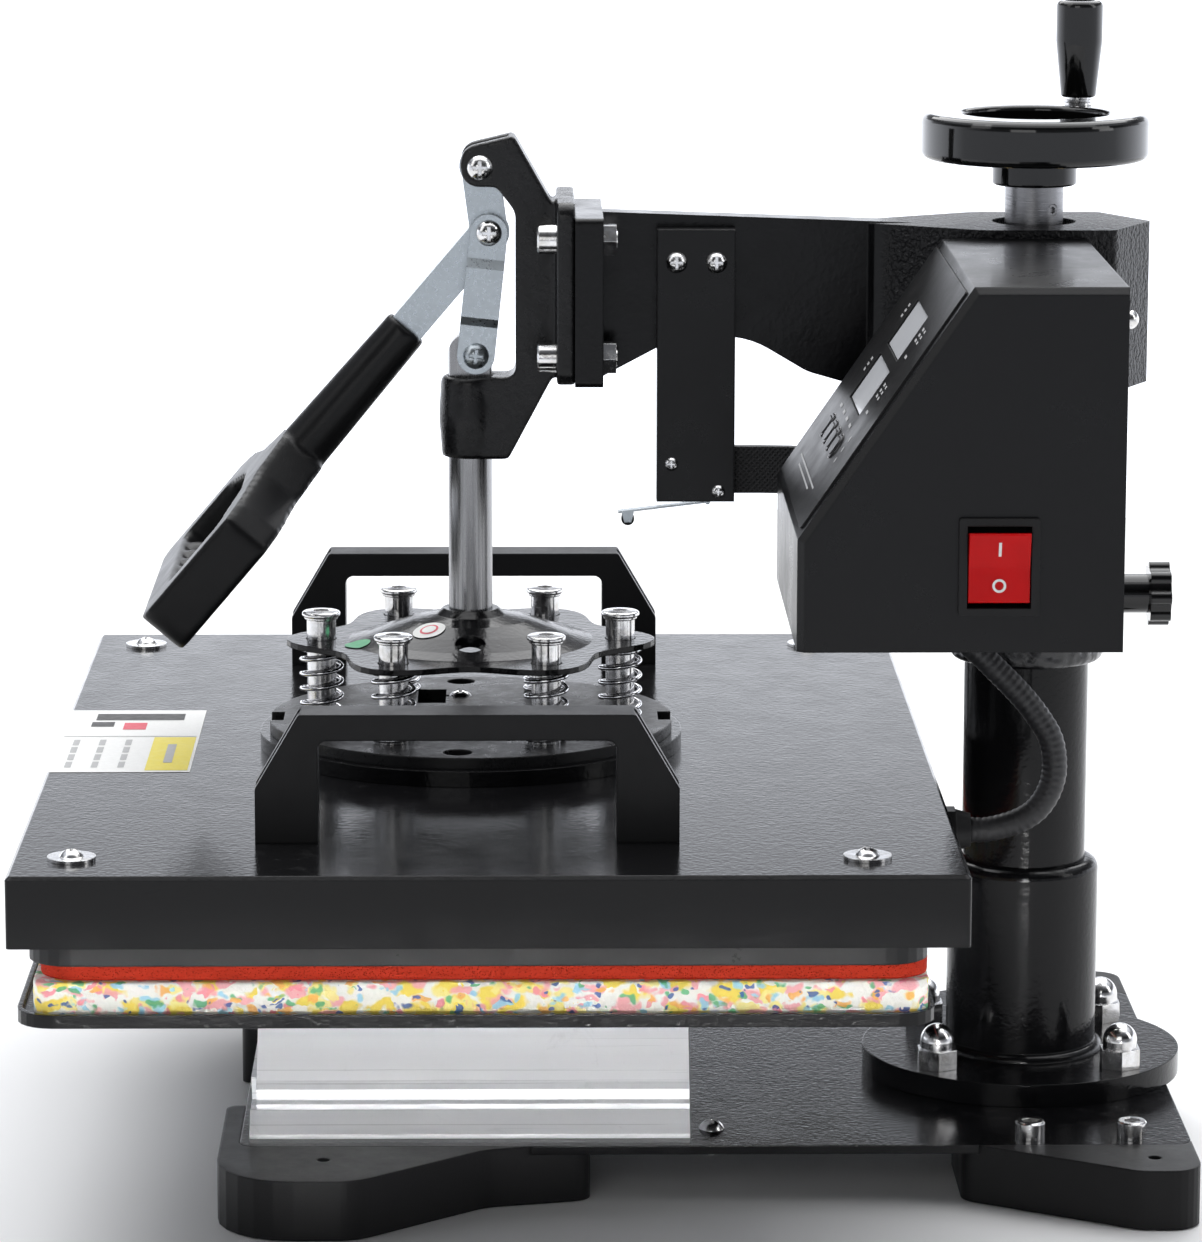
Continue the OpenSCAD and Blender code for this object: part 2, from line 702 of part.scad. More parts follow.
module power_inlet() color([0.05, 0.05, 0.05]) {
    difference() {
        union() {
            translate([inlet_x - 17, box_rear, inlet_z - 12]) cube([34, 2, 24]);
            translate([inlet_x - 13.7, box_rear - 18, inlet_z - 9.9]) cube([27.4, 18 + tiny, 19.8]);
        }
        translate([inlet_x - 12, box_rear - 14, inlet_z - 8]) cube([24, 20, 16]);
    }
    for (dx = [-7, 0, 7]) translate([inlet_x + dx - 1, box_rear - 14 - tiny, inlet_z - 2]) cube([2, 11, 4]);
}

// Slanted rubber grommet under the box
module cable_grommet() color([0.04, 0.04, 0.04]) {
    translate([cable_x, cable_route[0].x - 6, box_low]) rotate([-130, 0, 0]) {
        translate([0, 0, -4]) cylinder(r = 6.8, h = 9);
        translate([0, 0, 5 - tiny]) cylinder(r1 = 6.8, r2 = 5.4, h = 2.7);
    }
}

// ---------------------------------------------------------------- limit switch

module at_switch_screws() {
    for (p = [[-20.5, 235.5], [-4.5, 226]]) translate([bracket_x, p.x, p.y]) children();
}

module switch_bracket() color([0.03, 0.03, 0.035]) {
    difference() {
        translate([5, bracket_y[0], bracket_z[0]])
            cube([bracket_x - 5, bracket_y[1] - bracket_y[0], bracket_z[1] - bracket_z[0]]);
        translate([4, bracket_y[0] + 1.5, bracket_z[0] - 1])
            cube([bracket_x - 5.5, bracket_y[1] - bracket_y[0] - 3, 76]);
        at_bracket_screws() rod_x(2.05, -5, 20, 0, 0);
        at_switch_screws() rod_x(1.2, -5, 5, 0, 0);
    }
}

module limit_switch() color([0.05, 0.05, 0.05]) {
    difference() {
        translate([6.4, -23.6, 223.6]) cube([6, 22.6, 15]);
        at_switch_screws() rod_x(1.2, -10, 0, 0, 0);
    }
}

module roller_lever() color([0.72, 0.73, 0.75]) {
    tip = [-38.5, 218.4];
    tilt = atan2(tip.y - lever_pivot.y, tip.x - lever_pivot.x);
    span = norm(tip - lever_pivot);
    translate([0, lever_pivot.x, lever_pivot.y]) rotate([tilt, 0, 0]) translate([7, 0, -0.3]) cube([4.5, span, 0.6]);
    rod_x(0.9, 7, 11.5, lever_pivot.x, lever_pivot.y);
    for (x = [7, 10.9]) along_x(x, x + 0.6) polygon([
        [roller_at.x - 1.2, roller_at.y - 1.1], [roller_at.x + 1.2, roller_at.y - 1.1],
        [roller_at.x + 2.2, roller_at.y + 3.1], [roller_at.x - 2.2, roller_at.y + 2.6]]);
    rod_x(0.7, 7, 11.5, roller_at.x, roller_at.y);
}

module roller() color([0.1, 0.1, 0.1]) {
    difference() {
        rod_x(2.2, 7.9, 10.6, roller_at.x, roller_at.y);
        rod_x(0.7 + run, 7, 12, roller_at.x, roller_at.y);
    }
}

// Flat braided sleeve from the switch bracket to the back of the control box
module switch_cable() color([0.03, 0.03, 0.03]) {
    path = [[9, 1], [9, 10], [10, 20], [14, 29], [20, 35], [head_r, 37.5]];
    half = 2;
    left = [for (i = [0 : len(path) - 1]) path[i] + half * side_of(path, i)];
    right = [for (i = [len(path) - 1 : -1 : 0]) path[i] - half * side_of(path, i)];
    translate([0, 0, 225]) linear_extrude(16) polygon(concat(left, right));
}

// Unit vector across a plan path at its point i
function side_of(path, i) =
    let (a = path[max(0, i - 1)], b = path[min(len(path) - 1, i + 1)], d = unit(b - a))
    [-d.y, d.x];

module lock_knob() color([0.03, 0.03, 0.03]) {
    rod_y(4, col_y + 21.6, col_y + 45, 0, knob_z);
    rod_y(6.75, col_y + 29.4, col_y + 42, 0, knob_z);
    along_y(col_y + 41.7, col_y + 48.8) difference() {
        translate([0, knob_z]) union() {
            circle(r = 9.6);
            for (a = [0 : 45 : 315]) rotate(a) translate([8.6, 0]) circle(r = 2.5);
        }
    }
}

// ---------------------------------------------------------------- lever and toggle links

module lever_bar() color([0.66, 0.69, 0.72]) {
    top_len = norm(pivot_top - pivot_mid);
    top_tilt = atan2(pivot_top.y - pivot_mid.y, pivot_top.x - pivot_mid.x);
    difference() {
        union() {
            rod_x(7, -3, 3, pivot_top.x, pivot_top.y);
            rod_x(7, -3, 3, pivot_mid.x, pivot_mid.y);
            along_x(-3, 3) translate(pivot_mid) rotate(top_tilt) translate([0, -6.4]) square([top_len, 12.8]);
            along_x(-3, 3) translate(pivot_mid) rotate(180 + lever_angle) translate([0, -6]) square([96, 12]);
        }
        rod_x(3.5 + run, -5, 5, pivot_top.x, pivot_top.y);
        rod_x(3.02, -5, 5, pivot_mid.x, pivot_mid.y);
    }
}

// Moulded grip: a sleeve on the bar that opens into a D-shaped loop
module grip_handle() color([0.03, 0.03, 0.032]) {
    outer = [[-9, 98, 3], [9, 98, 3], [24, 110, 8], [52, 118, 8], [60, 124, 4], [60, 169, 6],
             [-60, 169, 6], [-60, 124, 4], [-52, 118, 8], [-24, 110, 8]];
    inner = [[-20, 121, 8], [20, 121, 8], [46, 131, 5], [46, 155, 4], [-46, 155, 4], [-46, 131, 5]];
    difference() {
        union() {
            on_lever() translate([0, 0, 43]) cylinder(r1 = 7.6, r2 = 9, h = 64);
            on_lever() rotate([90, 0, 0]) translate([0, 0, -8.7]) linear_extrude(17.4) difference() {
                polygon(rounded(outer));
                polygon(rounded(inner));
            }
        }
        on_lever() translate([-3.05, -6.05, 30]) cube([6.1, 12.1, 66.2]);
    }
}

module middle_pivot_pin() color([0.78, 0.79, 0.8]) {
    rod_x(3, -6.3, 6.3, pivot_mid.x, pivot_mid.y);
    mirrored_x() translate([6.3 - tiny, pivot_mid.x, pivot_mid.y]) rotate([90, 0, 90]) difference() {
        dome(4.4, 2.6);
        translate([0, 0, 2.6]) cross(4.6, 1.2, 1.5);
    }
}

// Joggled straps, one each side; their lower pin heads are riveted on
module link_straps() color([0.68, 0.71, 0.74]) {
    profile = [[3.5, 7], [6, 7], [6, -9], [8, -12], [8, -29], [6, -32], [6, -strap_len - 7],
               [3.5, -strap_len - 7], [3.5, -31], [5.5, -28], [5.5, -13], [3.5, -10]];
    translate([0, pivot_mid.x, pivot_mid.y]) rotate([-strap_tilt, 0, 0]) mirrored_x() {
        difference() {
            intersection() {
                along_y(-10, 10) polygon(profile);
                union() {
                    rod_x(6.4, 0, 12, 0, 0);
                    rod_x(6.4, 0, 12, 0, -strap_len);
                    translate([0, -6.4, -strap_len]) cube([12, 12.8, strap_len]);
                }
            }
            rod_x(3 + run, 0, 12, 0, 0);
        }
        translate([6 - tiny, 0, -strap_len]) rotate([90, 0, 90]) difference() {
            dome(4.4, 2.6);
            translate([0, 0, 2.6]) cross(4.6, 1.2, 1.5);
        }
    }
}

// ---------------------------------------------------------------- press rod and spider

module press_rod() color([0.6, 0.6, 0.6]) {
    flats_z = 249;
    difference() {
        union() {
            rod_z(rod_d / 2, 176, flats_z, 0, press_y);
            intersection() {
                rod_z(rod_d / 2, flats_z - tiny, 290, 0, press_y);
                along_x(-3.2, 3.2) union() {
                    translate([press_y - 10, flats_z - 1]) square([20, pivot_low.y - flats_z + 1]);
                    translate([press_y, pivot_low.y]) circle(r = rod_d / 2);
                }
            }
        }
        rod_x(3.05, -5, 5, pivot_low.x, pivot_low.y);
    }
}

// Six-lobed pressed plate with a domed middle
module spider_plate() color([0.04, 0.04, 0.045]) {
    lobes = [for (a = [0 : 4 : 356]) let (r = 57 + 6.5 * cos(6 * (a - 30))) [r * cos(a), r * sin(a)]];
    top = spider_z + spider_t;
    dome_r = 42;
    boss_top = 183.5;
    difference() {
        translate([0, press_y, 0]) union() {
            translate([0, 0, spider_z]) linear_extrude(spider_t) difference() {
                polygon(lobes);
                circle(r = dome_r);
            }
            rotate_extrude() polygon([
                [dome_r + tiny, spider_z], [dome_r + tiny, top], [36, top + 1.6], [28, top + 4.6],
                [20, top + 7.3], [12, top + 8.8], [9.6, boss_top], [0, boss_top], [0, spider_z + 4],
                [9, spider_z + 5.5], [20, spider_z + 5.2], [28, spider_z + 2.6], [35, spider_z]]);
        }
        rod_z(rod_d / 2 + 0.05, 176, 190, 0, press_y);
        at_spring_bolts() rod_z(5.35, 160, 190);
        rod_z(5.2, 160, 190, 30, press_y);
    }
}

// ---------------------------------------------------------------- heating platen

module heater_cover() color([0.03, 0.03, 0.035]) {
    hw = cover_w / 2;
    hd = cover_d / 2;
    difference() {
        translate([0, cover_mid, 0]) hull() {
            translate([0, 0, cover_z]) linear_extrude(cover_h - 1.2) polygon(rect_pts(-hw, -hd, hw, hd, 1.5));
            translate([0, 0, cover_top - tiny]) linear_extrude(tiny)
                polygon(rect_pts(-hw + 1.2, -hd + 1.2, hw - 1.2, hd - 1.2, 1.2));
        }
        translate([0, cover_mid, cover_z - 1]) linear_extrude(cover_h + 1 - cover_wall)
            polygon(rect_pts(-hw + cover_wall, -hd + cover_wall, hw - cover_wall, hd - cover_wall, 1));
        at_cover_corners() rod_z(2.2, 100, 150);
        at_handle_screws() rod_z(2.6, 100, 150);
        at_spring_bolts() rod_z(4.1, 100, 150);
        rod_y(4.6, cover_mid + hd - 5, cover_mid + hd + 5, cable_x, 124);
    }
}

module at_handle_screws() {
    for (sx = [-1, 1], sy = [-1, 1]) translate([sx * handle_x, press_y + sy * (handle_half - 10), 0]) children();
}

module heating_plate() color([0.13, 0.13, 0.14]) {
    difference() {
        union() {
            translate([0, platen_mid + 0.7, plate_z]) linear_extrude(heater_t) polygon(rect_pts(-190, -141.5, 190, 141.5, 14));
            at_cover_corners() rod_z(6, plate_z + heater_t - tiny, cover_top - cover_wall);
        }
        at_cover_corners() rod_z(2.05, plate_z + 4, 150);
    }
}

module insulation() color([0.85, 0.83, 0.75]) {
    difference() {
        translate([0, platen_mid, plate_z + heater_t]) linear_extrude(13) polygon(rect_pts(-184, -136, 184, 136, 8));
        at_cover_corners() rod_z(6.4, 100, 150);
    }
}

module mounting_disc() color([0.03, 0.03, 0.035]) {
    difference() {
        rod_z(disc_r, cover_top, disc_top, 0, press_y);
        at_spring_bolts() rod_z(4.1, 100, 160);
    }
}

module adapter_plate() color([0.04, 0.04, 0.045]) {
    difference() {
        rod_z(adapter_r, disc_top, adapter_top, 0, press_y);
        at_spring_bolts() rod_z(4.05, 100, 160);
        for (s = [-1, 1]) {
            rod_z(5, 100, 160, s * 60.5, press_y - 4);
            translate([-7, press_y + s * adapter_r - 5, disc_top - 1]) cube([14, 10, 8]);
        }
        translate([-46, press_y - 19, disc_top - 1]) cube([24, 10, 8]);
        translate([-36, press_y - 10, disc_top - 1]) cube([2.5, 9, 8]);
    }
}

module spring_bolts() color([0.78, 0.79, 0.8]) {
    at_spring_bolts() {
        rod_z(4, cover_top - 1.4, adapter_top + tiny);
        rod_z(5, adapter_top, bolt_head_z + tiny);
        translate([0, 0, bolt_head_z]) difference() {
            rotate_extrude() polygon(rounded([
                [0, 0, 0], [5.8, 0, 0.3], [5.8, 0.8, 0], [6.6, 1.3, 0.2], [6.6, 2.6, 0.8], [0, 3.2, 0]]));
            translate([0, 0, 2]) cylinder(r = 2.9, h = 3, $fn = 6);
        }
    }
}

// Plain tubes of the springs' outer shape
module springs() color([0.8, 0.81, 0.82]) {
    at_spring_bolts() difference() {
        rod_z(7.7, adapter_top, spider_z);
        rod_z(5.4, adapter_top - 1, spider_z + 1);
    }
}

module handle_solid() {
    y0 = press_y - handle_half;
    y1 = press_y + handle_half;
    top = cover_top + handle_h;
    groove = 2;
    difference() {
        along_x(handle_x - handle_w / 2, handle_x + handle_w / 2) difference() {
            polygon(rounded([
                [y0, cover_top, 0], [y0, top - 24, 1.5], [y0 + 14, top, 1.5], [y1 - 14, top, 1.5],
                [y1, top - 24, 1.5], [y1, cover_top, 0]]));
            polygon(rounded([
                [y0 + 20, cover_top - 1, 0], [y0 + 20, top - 8.4, 3], [y1 - 20, top - 8.4, 3],
                [y1 - 20, cover_top - 1, 0]]));
        }
        // Grooves down the two sloping corners
        for (s = [-1, 1]) translate([handle_x, press_y + s * handle_half, 0])
            along_x(-3, 3) polygon([[s, top - 24 + 2], [-s * 13, top + 1], [-s * (13 + groove), top + 1],
                                    [-s * groove, top - 24 - 3], [s, top - 24 - 3]]);
        for (s = [-1, 1]) rod_z(2.3, cover_top - 1, cover_top + 16, handle_x, press_y + s * (handle_half - 10));
    }
}

module right_handle() color([0.05, 0.05, 0.055]) handle_solid();
module left_handle() color([0.05, 0.05, 0.055]) mirror([1, 0, 0]) handle_solid();

module cover_fasteners() color([0.78, 0.79, 0.8]) {
    at_cover_corners() {
        difference() {
            rod_z(7.65, cover_top, cover_top + 1.2);
            rod_z(2.1, 100, 150);
        }
        translate([0, 0, cover_top + 1.2]) pan_screw(3.9, 2.4, 2, 20);
    }
    at_handle_screws() {
        rod_z(4.2, cover_top - cover_wall - 2.2, cover_top - cover_wall);
        rod_z(2.25, cover_top - cover_wall - tiny, cover_top + 14);
    }
    translate([-34.7, press_y - 4, adapter_top]) pan_screw(4, 2.2, 1.1, 3);
}

module cable_gland() color([0.04, 0.04, 0.045]) {
    wall = cover_mid + cover_d / 2;
    translate([cable_x, wall, 124]) rotate([-90, 0, 0]) {
        cylinder(r = 8.2, h = 4, $fn = 6);
        translate([0, 0, 4 - tiny]) cylinder(r1 = 7, r2 = 5.6, h = 77 - wall - 4 + tiny);
        translate([0, 0, -3]) cylinder(r = 4.5, h = 3 + tiny);
    }
}

// ---------------------------------------------------------------- heater cable

function ring_dir(i) =
    let (n = len(cable_route) - 1)
    unit(cable_route[min(n, i + 1)] - cable_route[max(0, i - 1)]);

module heater_cable() color([0.05, 0.05, 0.05]) {
    sides = 12;
    n = len(cable_route);
    r = cable_d / 2;
    points = [for (i = [0 : n - 1]) let (p = cable_route[i], d = ring_dir(i)) for (k = [0 : sides - 1])
        let (a = 360 * k / sides)
        [cable_x + r * cos(a), p.x - r * sin(a) * d.y, p.y + r * sin(a) * d.x]];
    walls = [for (i = [0 : n - 2], k = [0 : sides - 1])
        let (a = i * sides + k, b = i * sides + (k + 1) % sides)
        [a, b, b + sides, a + sides]];
    first = [for (k = [sides - 1 : -1 : 0]) k];
    last = [for (k = [0 : sides - 1]) (n - 1) * sides + k];
    polyhedron(points = points, faces = concat([first, last], walls), convexity = 4);
}

base_plate();
front_right_foot();
front_left_foot();
rear_right_foot();
rear_left_foot();
base_fasteners();
column_socket();
column_post();
lower_rail();
slide_carriage();
platen_tray();
foam_pad();
silicone_pad();
thrust_washer();
handwheel();
lead_screw();
stem_collar();
crank_pin();
crank_handle();
swing_arm();
column_sleeve();
head_casting();
arm_fasteners();
top_pivot_pin();
control_box();
box_mount_plate();
panel_overlay();
display_board();
rocker_bezel();
power_inlet();
cable_grommet();
switch_bracket();
limit_switch();
switch_cable();
lock_knob();
rocker_button();
mode_key();
up_key();
down_key();
start_key();
roller_lever();
roller();
lever_bar();
grip_handle();
middle_pivot_pin();
link_straps();
press_rod();
spider_plate();
heater_cover();
heating_plate();
insulation();
mounting_disc();
adapter_plate();
spring_bolts();
springs();
left_handle();
right_handle();
cover_fasteners();
cable_gland();
heater_cable();
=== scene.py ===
"""Looks of the swing-away heat press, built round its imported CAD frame. Metres, +Z up, operator at -Y."""

import math
import random

import bmesh
import bpy
from mathutils import Matrix, Vector


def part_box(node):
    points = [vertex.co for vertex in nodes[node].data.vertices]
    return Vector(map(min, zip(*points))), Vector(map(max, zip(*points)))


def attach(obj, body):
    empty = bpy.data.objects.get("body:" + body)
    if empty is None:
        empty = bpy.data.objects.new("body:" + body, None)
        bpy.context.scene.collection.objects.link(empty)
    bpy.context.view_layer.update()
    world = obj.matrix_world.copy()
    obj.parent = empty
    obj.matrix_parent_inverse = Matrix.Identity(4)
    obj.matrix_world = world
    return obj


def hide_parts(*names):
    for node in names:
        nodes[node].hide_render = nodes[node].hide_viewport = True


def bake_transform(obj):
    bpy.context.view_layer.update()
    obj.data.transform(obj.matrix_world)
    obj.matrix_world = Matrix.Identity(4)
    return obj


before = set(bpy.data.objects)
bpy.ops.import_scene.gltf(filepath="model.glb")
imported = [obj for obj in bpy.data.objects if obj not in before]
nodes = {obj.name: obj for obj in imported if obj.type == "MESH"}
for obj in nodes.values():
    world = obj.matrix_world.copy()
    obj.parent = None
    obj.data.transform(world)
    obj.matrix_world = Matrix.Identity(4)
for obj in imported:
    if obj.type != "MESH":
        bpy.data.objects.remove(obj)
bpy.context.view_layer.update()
rng = random.Random(7)


# ------------------------------------------------------------------ camera

def make_camera():
    """The photographer's camera, solved from straight edges and circles of the press in the photo."""
    data = bpy.data.cameras.new("camera")
    data.lens = 156.18
    data.sensor_width = 36.0
    data.sensor_fit = "AUTO"
    data.clip_end = 20.0
    cam = bpy.data.objects.new("camera", data)
    bpy.context.scene.collection.objects.link(cam)
    pitch, yaw, roll = 0.187006, -0.016494, 0.001933
    ahead = Vector((-math.cos(yaw) * math.cos(pitch), -math.sin(yaw) * math.cos(pitch), -math.sin(pitch)))
    right = ahead.cross(Vector((0, 0, 1))).normalized()
    up = right.cross(ahead)
    rolled_right = math.cos(roll) * right + math.sin(roll) * up
    rolled_up = -math.sin(roll) * right + math.cos(roll) * up
    turn = Matrix((rolled_right, rolled_up, -ahead)).transposed()
    cam.matrix_world = Matrix.Translation((1.825713, -0.074225, 0.524011)) @ turn.to_4x4()
    bpy.context.scene.camera = cam


make_camera()


# ------------------------------------------------------------------ material tools

MIX_FACTOR, MIX_A, MIX_B, MIX_RESULT = 0, 6, 7, 2


class Shader:
    """A material under construction, with short calls for the nodes it is made of."""

    def __init__(self, name, color, rough, metal=0.0, **sockets):
        self.mat = bpy.data.materials.new(name)
        self.mat.use_nodes = True
        self.tree = self.mat.node_tree
        self.bsdf = self.tree.nodes["Principled BSDF"]
        self.set("Base Color", (*color, 1.0))
        self.set("Roughness", rough)
        self.set("Metallic", metal)
        for key, value in sockets.items():
            self.set(key.replace("_", " "), value)
        self.coord = self.node("ShaderNodeTexCoord").outputs["Object"]
        self.last_bump = None

    def set(self, socket, value):
        self.bsdf.inputs[socket].default_value = value

    def node(self, kind, **props):
        made = self.tree.nodes.new(kind)
        for key, value in props.items():
            setattr(made, key, value)
        return made

    def link(self, out, into):
        self.tree.links.new(out, into)

    def scaled(self, scale):
        m = self.node("ShaderNodeMapping")
        m.inputs["Scale"].default_value = scale
        self.link(self.coord, m.inputs["Vector"])
        return m.outputs["Vector"]

    def noise(self, scale, detail=3.0, rough=0.5, stretch=None, distort=0.0):
        n = self.node("ShaderNodeTexNoise")
        n.inputs["Scale"].default_value = scale
        n.inputs["Detail"].default_value = detail
        n.inputs["Roughness"].default_value = rough
        n.inputs["Distortion"].default_value = distort
        self.link(self.scaled(stretch) if stretch else self.coord, n.inputs["Vector"])
        return n.outputs["Fac"]

    def voronoi(self, scale, feature="F1"):
        v = self.node("ShaderNodeTexVoronoi", feature=feature)
        v.inputs["Scale"].default_value = scale
        self.link(self.coord, v.inputs["Vector"])
        return v.outputs["Distance"]

    def diagonal_wave(self, scale, lean):
        w = self.node("ShaderNodeTexWave", bands_direction="DIAGONAL")
        w.inputs["Scale"].default_value = scale
        w.inputs["Distortion"].default_value = 0.0
        self.link(self.scaled(lean), w.inputs["Vector"])
        return w.outputs["Fac"]

    def span(self, value, a0, a1, b0=0.0, b1=1.0):
        """Maps a0..a1 to b0..b1, held at the ends."""
        r = self.node("ShaderNodeMapRange")
        for key, number in (("From Min", a0), ("From Max", a1), ("To Min", b0), ("To Max", b1)):
            r.inputs[key].default_value = number
        self.link(value, r.inputs["Value"])
        return r.outputs["Result"]

    def math(self, op, a, b=None):
        m = self.node("ShaderNodeMath", operation=op)
        for socket, value in zip(m.inputs, (a, b)):
            if value is None:
                continue
            if isinstance(value, (int, float)):
                socket.default_value = value
            else:
                self.link(value, socket)
        return m.outputs[0]

    def mix(self, fac, a, b):
        m = self.node("ShaderNodeMix", data_type="RGBA")
        for index, value in ((MIX_FACTOR, fac), (MIX_A, a), (MIX_B, b)):
            socket = m.inputs[index]
            if isinstance(value, tuple):
                socket.default_value = (*value, 1.0)
            elif isinstance(value, (int, float)):
                socket.default_value = value if socket.type == "VALUE" else (value, value, value, 1.0)
            else:
                self.link(value, socket)
        return m.outputs[MIX_RESULT]

    def split(self, vector, axis):
        s = self.node("ShaderNodeSeparateXYZ")
        self.link(vector, s.inputs[0])
        return s.outputs[axis]

    def facing_up(self):
        return self.split(self.node("ShaderNodeNewGeometry").outputs["Normal"], 2)

    def color(self, value):
        self.link(value, self.bsdf.inputs["Base Color"])

    def rough(self, value):
        self.link(value, self.bsdf.inputs["Roughness"])

    def edges(self, radius):
        """Rounds the shading of sharp edges."""
        b = self.node("ShaderNodeBevel", samples=4)
        b.inputs["Radius"].default_value = radius
        self.last_bump = b.outputs["Normal"]
        self.link(self.last_bump, self.bsdf.inputs["Normal"])

    def bump(self, height, depth):
        b = self.node("ShaderNodeBump")
        b.inputs["Strength"].default_value = 1.0
        b.inputs["Distance"].default_value = depth
        self.link(height, b.inputs["Height"])
        if self.last_bump:
            self.link(self.last_bump, b.inputs["Normal"])
        self.last_bump = b.outputs["Normal"]
        self.link(self.last_bump, self.bsdf.inputs["Normal"])

    def dust(self, base):
        """Sparse pale specks and a faint film on faces that look up, over the base colour."""
        up = self.span(self.facing_up(), 0.75, 1.0, 0.0, 0.35)
        patch = self.span(self.noise(9.0, 5.0, 0.6), 0.42, 0.75)
        specks = self.span(self.voronoi(420.0), 0.16, 0.05)
        film = self.math("MULTIPLY", up, self.math("ADD", self.math("MULTIPLY", patch, 0.12), specks))
        rare = self.span(self.noise(140.0, 2.0), 0.56, 0.68)
        return self.mix(self.math("MULTIPLY", film, rare), base, (0.28, 0.28, 0.28))


def powder(name, base, peel):
    """Gloss powder coat with orange peel, peel metres deep."""
    rough = 0.15
    s = Shader(name, base, rough, Coat_Weight=0.06, Coat_Roughness=0.08, Specular_IOR_Level=0.2)
    tone = s.mix(s.noise(30.0, 4.0), tuple(c * 0.8 for c in base), tuple(c * 1.35 for c in base))
    s.color(s.dust(tone))
    s.rough(s.span(s.noise(60.0, 6.0, 0.65), 0.3, 0.7, rough * 0.75, rough * 1.4))
    s.edges(0.0006)
    s.bump(s.noise(520.0, 2.0, 0.45, distort=0.4), peel)
    return s.mat


def hammered():
    s = Shader("hammered_powder", (0.008, 0.008, 0.009), 0.2, Coat_Weight=0.3, Coat_Roughness=0.1)
    s.edges(0.0012)
    s.bump(s.span(s.voronoi(330.0, "SMOOTH_F1"), 0.1, 0.75), 0.0006)
    s.bump(s.noise(900.0, 2.0), 0.00006)
    s.rough(s.span(s.noise(80.0, 5.0), 0.3, 0.7, 0.15, 0.3))
    s.color(s.mix(s.noise(40.0, 3.0), (0.0035, 0.0035, 0.004), (0.008, 0.008, 0.009)))
    return s.mat


def arm_coat():
    """Smooth gloss along the arm, hammered where it flares round the column."""
    s = Shader("arm_coat", (0.006, 0.006, 0.0066), 0.2, Coat_Weight=0.05, Coat_Roughness=0.1,
               Specular_IOR_Level=0.2)
    flare_start, flare_end = 0.050, 0.057
    where = s.span(s.split(s.coord, 1), flare_start, flare_end)
    s.edges(0.0008)
    s.bump(s.noise(480.0, 2.0, 0.45, distort=0.4), 0.00008)
    lumps = s.span(s.noise(620.0, 2.0, 0.5), 0.35, 0.62)
    s.bump(s.math("MULTIPLY", lumps, where), 0.00055)
    s.rough(s.mix(where, s.span(s.noise(70.0, 5.0), 0.3, 0.7, 0.16, 0.28), 0.34))
    s.color(s.mix(where, (0.0035, 0.0035, 0.004), (0.008, 0.008, 0.0092)))
    return s.mat


def cast(name, base=(0.0045, 0.0045, 0.005), depth=0.00022, size=420.0, rough=0.24):
    s = Shader(name, base, rough, Specular_IOR_Level=0.3)
    s.edges(0.0009)
    s.bump(s.noise(size, 5.0, 0.6), depth)
    s.bump(s.noise(70.0, 3.0), 0.0003)
    s.rough(s.span(s.noise(120.0, 6.0, 0.7), 0.3, 0.7, rough * 0.75, rough * 1.5))
    s.color(s.mix(s.noise(50.0, 4.0), tuple(c * 0.7 for c in base), tuple(c * 1.8 for c in base)))
    return s.mat


def plastic(name, base=(0.012, 0.012, 0.0125), rough=0.42, grain=0.00003, size=2600.0, edge=0.0007, coat=0.0):
    s = Shader(name, base, rough, Coat_Weight=coat, Coat_Roughness=0.06, Specular_IOR_Level=0.2)
    s.edges(edge)
    s.bump(s.noise(size, 2.0, 0.5), grain)
    s.rough(s.span(s.noise(45.0, 6.0, 0.7), 0.3, 0.7, rough * 0.82, rough * 1.2))
    s.color(s.mix(s.noise(22.0, 4.0), tuple(c * 0.85 for c in base), tuple(c * 1.25 for c in base)))
    return s.mat


def metal(name, base, rough, scratch, depth=0.00001, size=900.0, edge=0.0004):
    """Bare or plated metal; scratch stretches the marks."""
    s = Shader(name, base, rough, 1.0)
    s.edges(edge)
    lines = s.noise(size, 4.0, 0.6, stretch=scratch)
    s.bump(lines, depth)
    s.rough(s.span(lines, 0.3, 0.7, rough * 0.7, rough * 1.45))
    dull = tuple(c * 0.88 for c in base)
    bright = tuple(c * 1.12 for c in base)
    s.color(s.mix(s.noise(60.0, 5.0, 0.6), dull, bright))
    return s.mat


def bright_plate():
    s = Shader("bright_plate", (0.78, 0.78, 0.8), 0.14, 1.0)
    s.edges(0.00035)
    s.bump(s.noise(500.0, 3.0), 0.00002)
    s.rough(s.span(s.noise(220.0, 6.0, 0.65), 0.35, 0.7, 0.08, 0.3))
    s.color(s.mix(s.span(s.noise(160.0, 6.0, 0.7), 0.45, 0.75), (0.8, 0.8, 0.81), (0.52, 0.5, 0.46)))
    return s.mat


def extruded():
    s = Shader("extruded_aluminium", (0.9, 0.91, 0.93), 0.4, 0.15)
    s.edges(0.0004)
    long = s.noise(1.0, 6.0, 0.62, stretch=(900.0, 3.0, 900.0))
    broad = s.noise(1.0, 3.0, 0.5, stretch=(70.0, 1.5, 160.0))
    s.bump(long, 0.00002)
    s.rough(s.span(long, 0.3, 0.7, 0.22, 0.45))
    marks = s.span(s.noise(38.0, 8.0, 0.75, distort=1.2), 0.58, 0.72, 0.0, 0.5)
    tone = s.mix(broad, (0.78, 0.79, 0.81), (0.95, 0.96, 0.98))
    s.color(s.mix(marks, tone, (0.6, 0.6, 0.61)))
    return s.mat


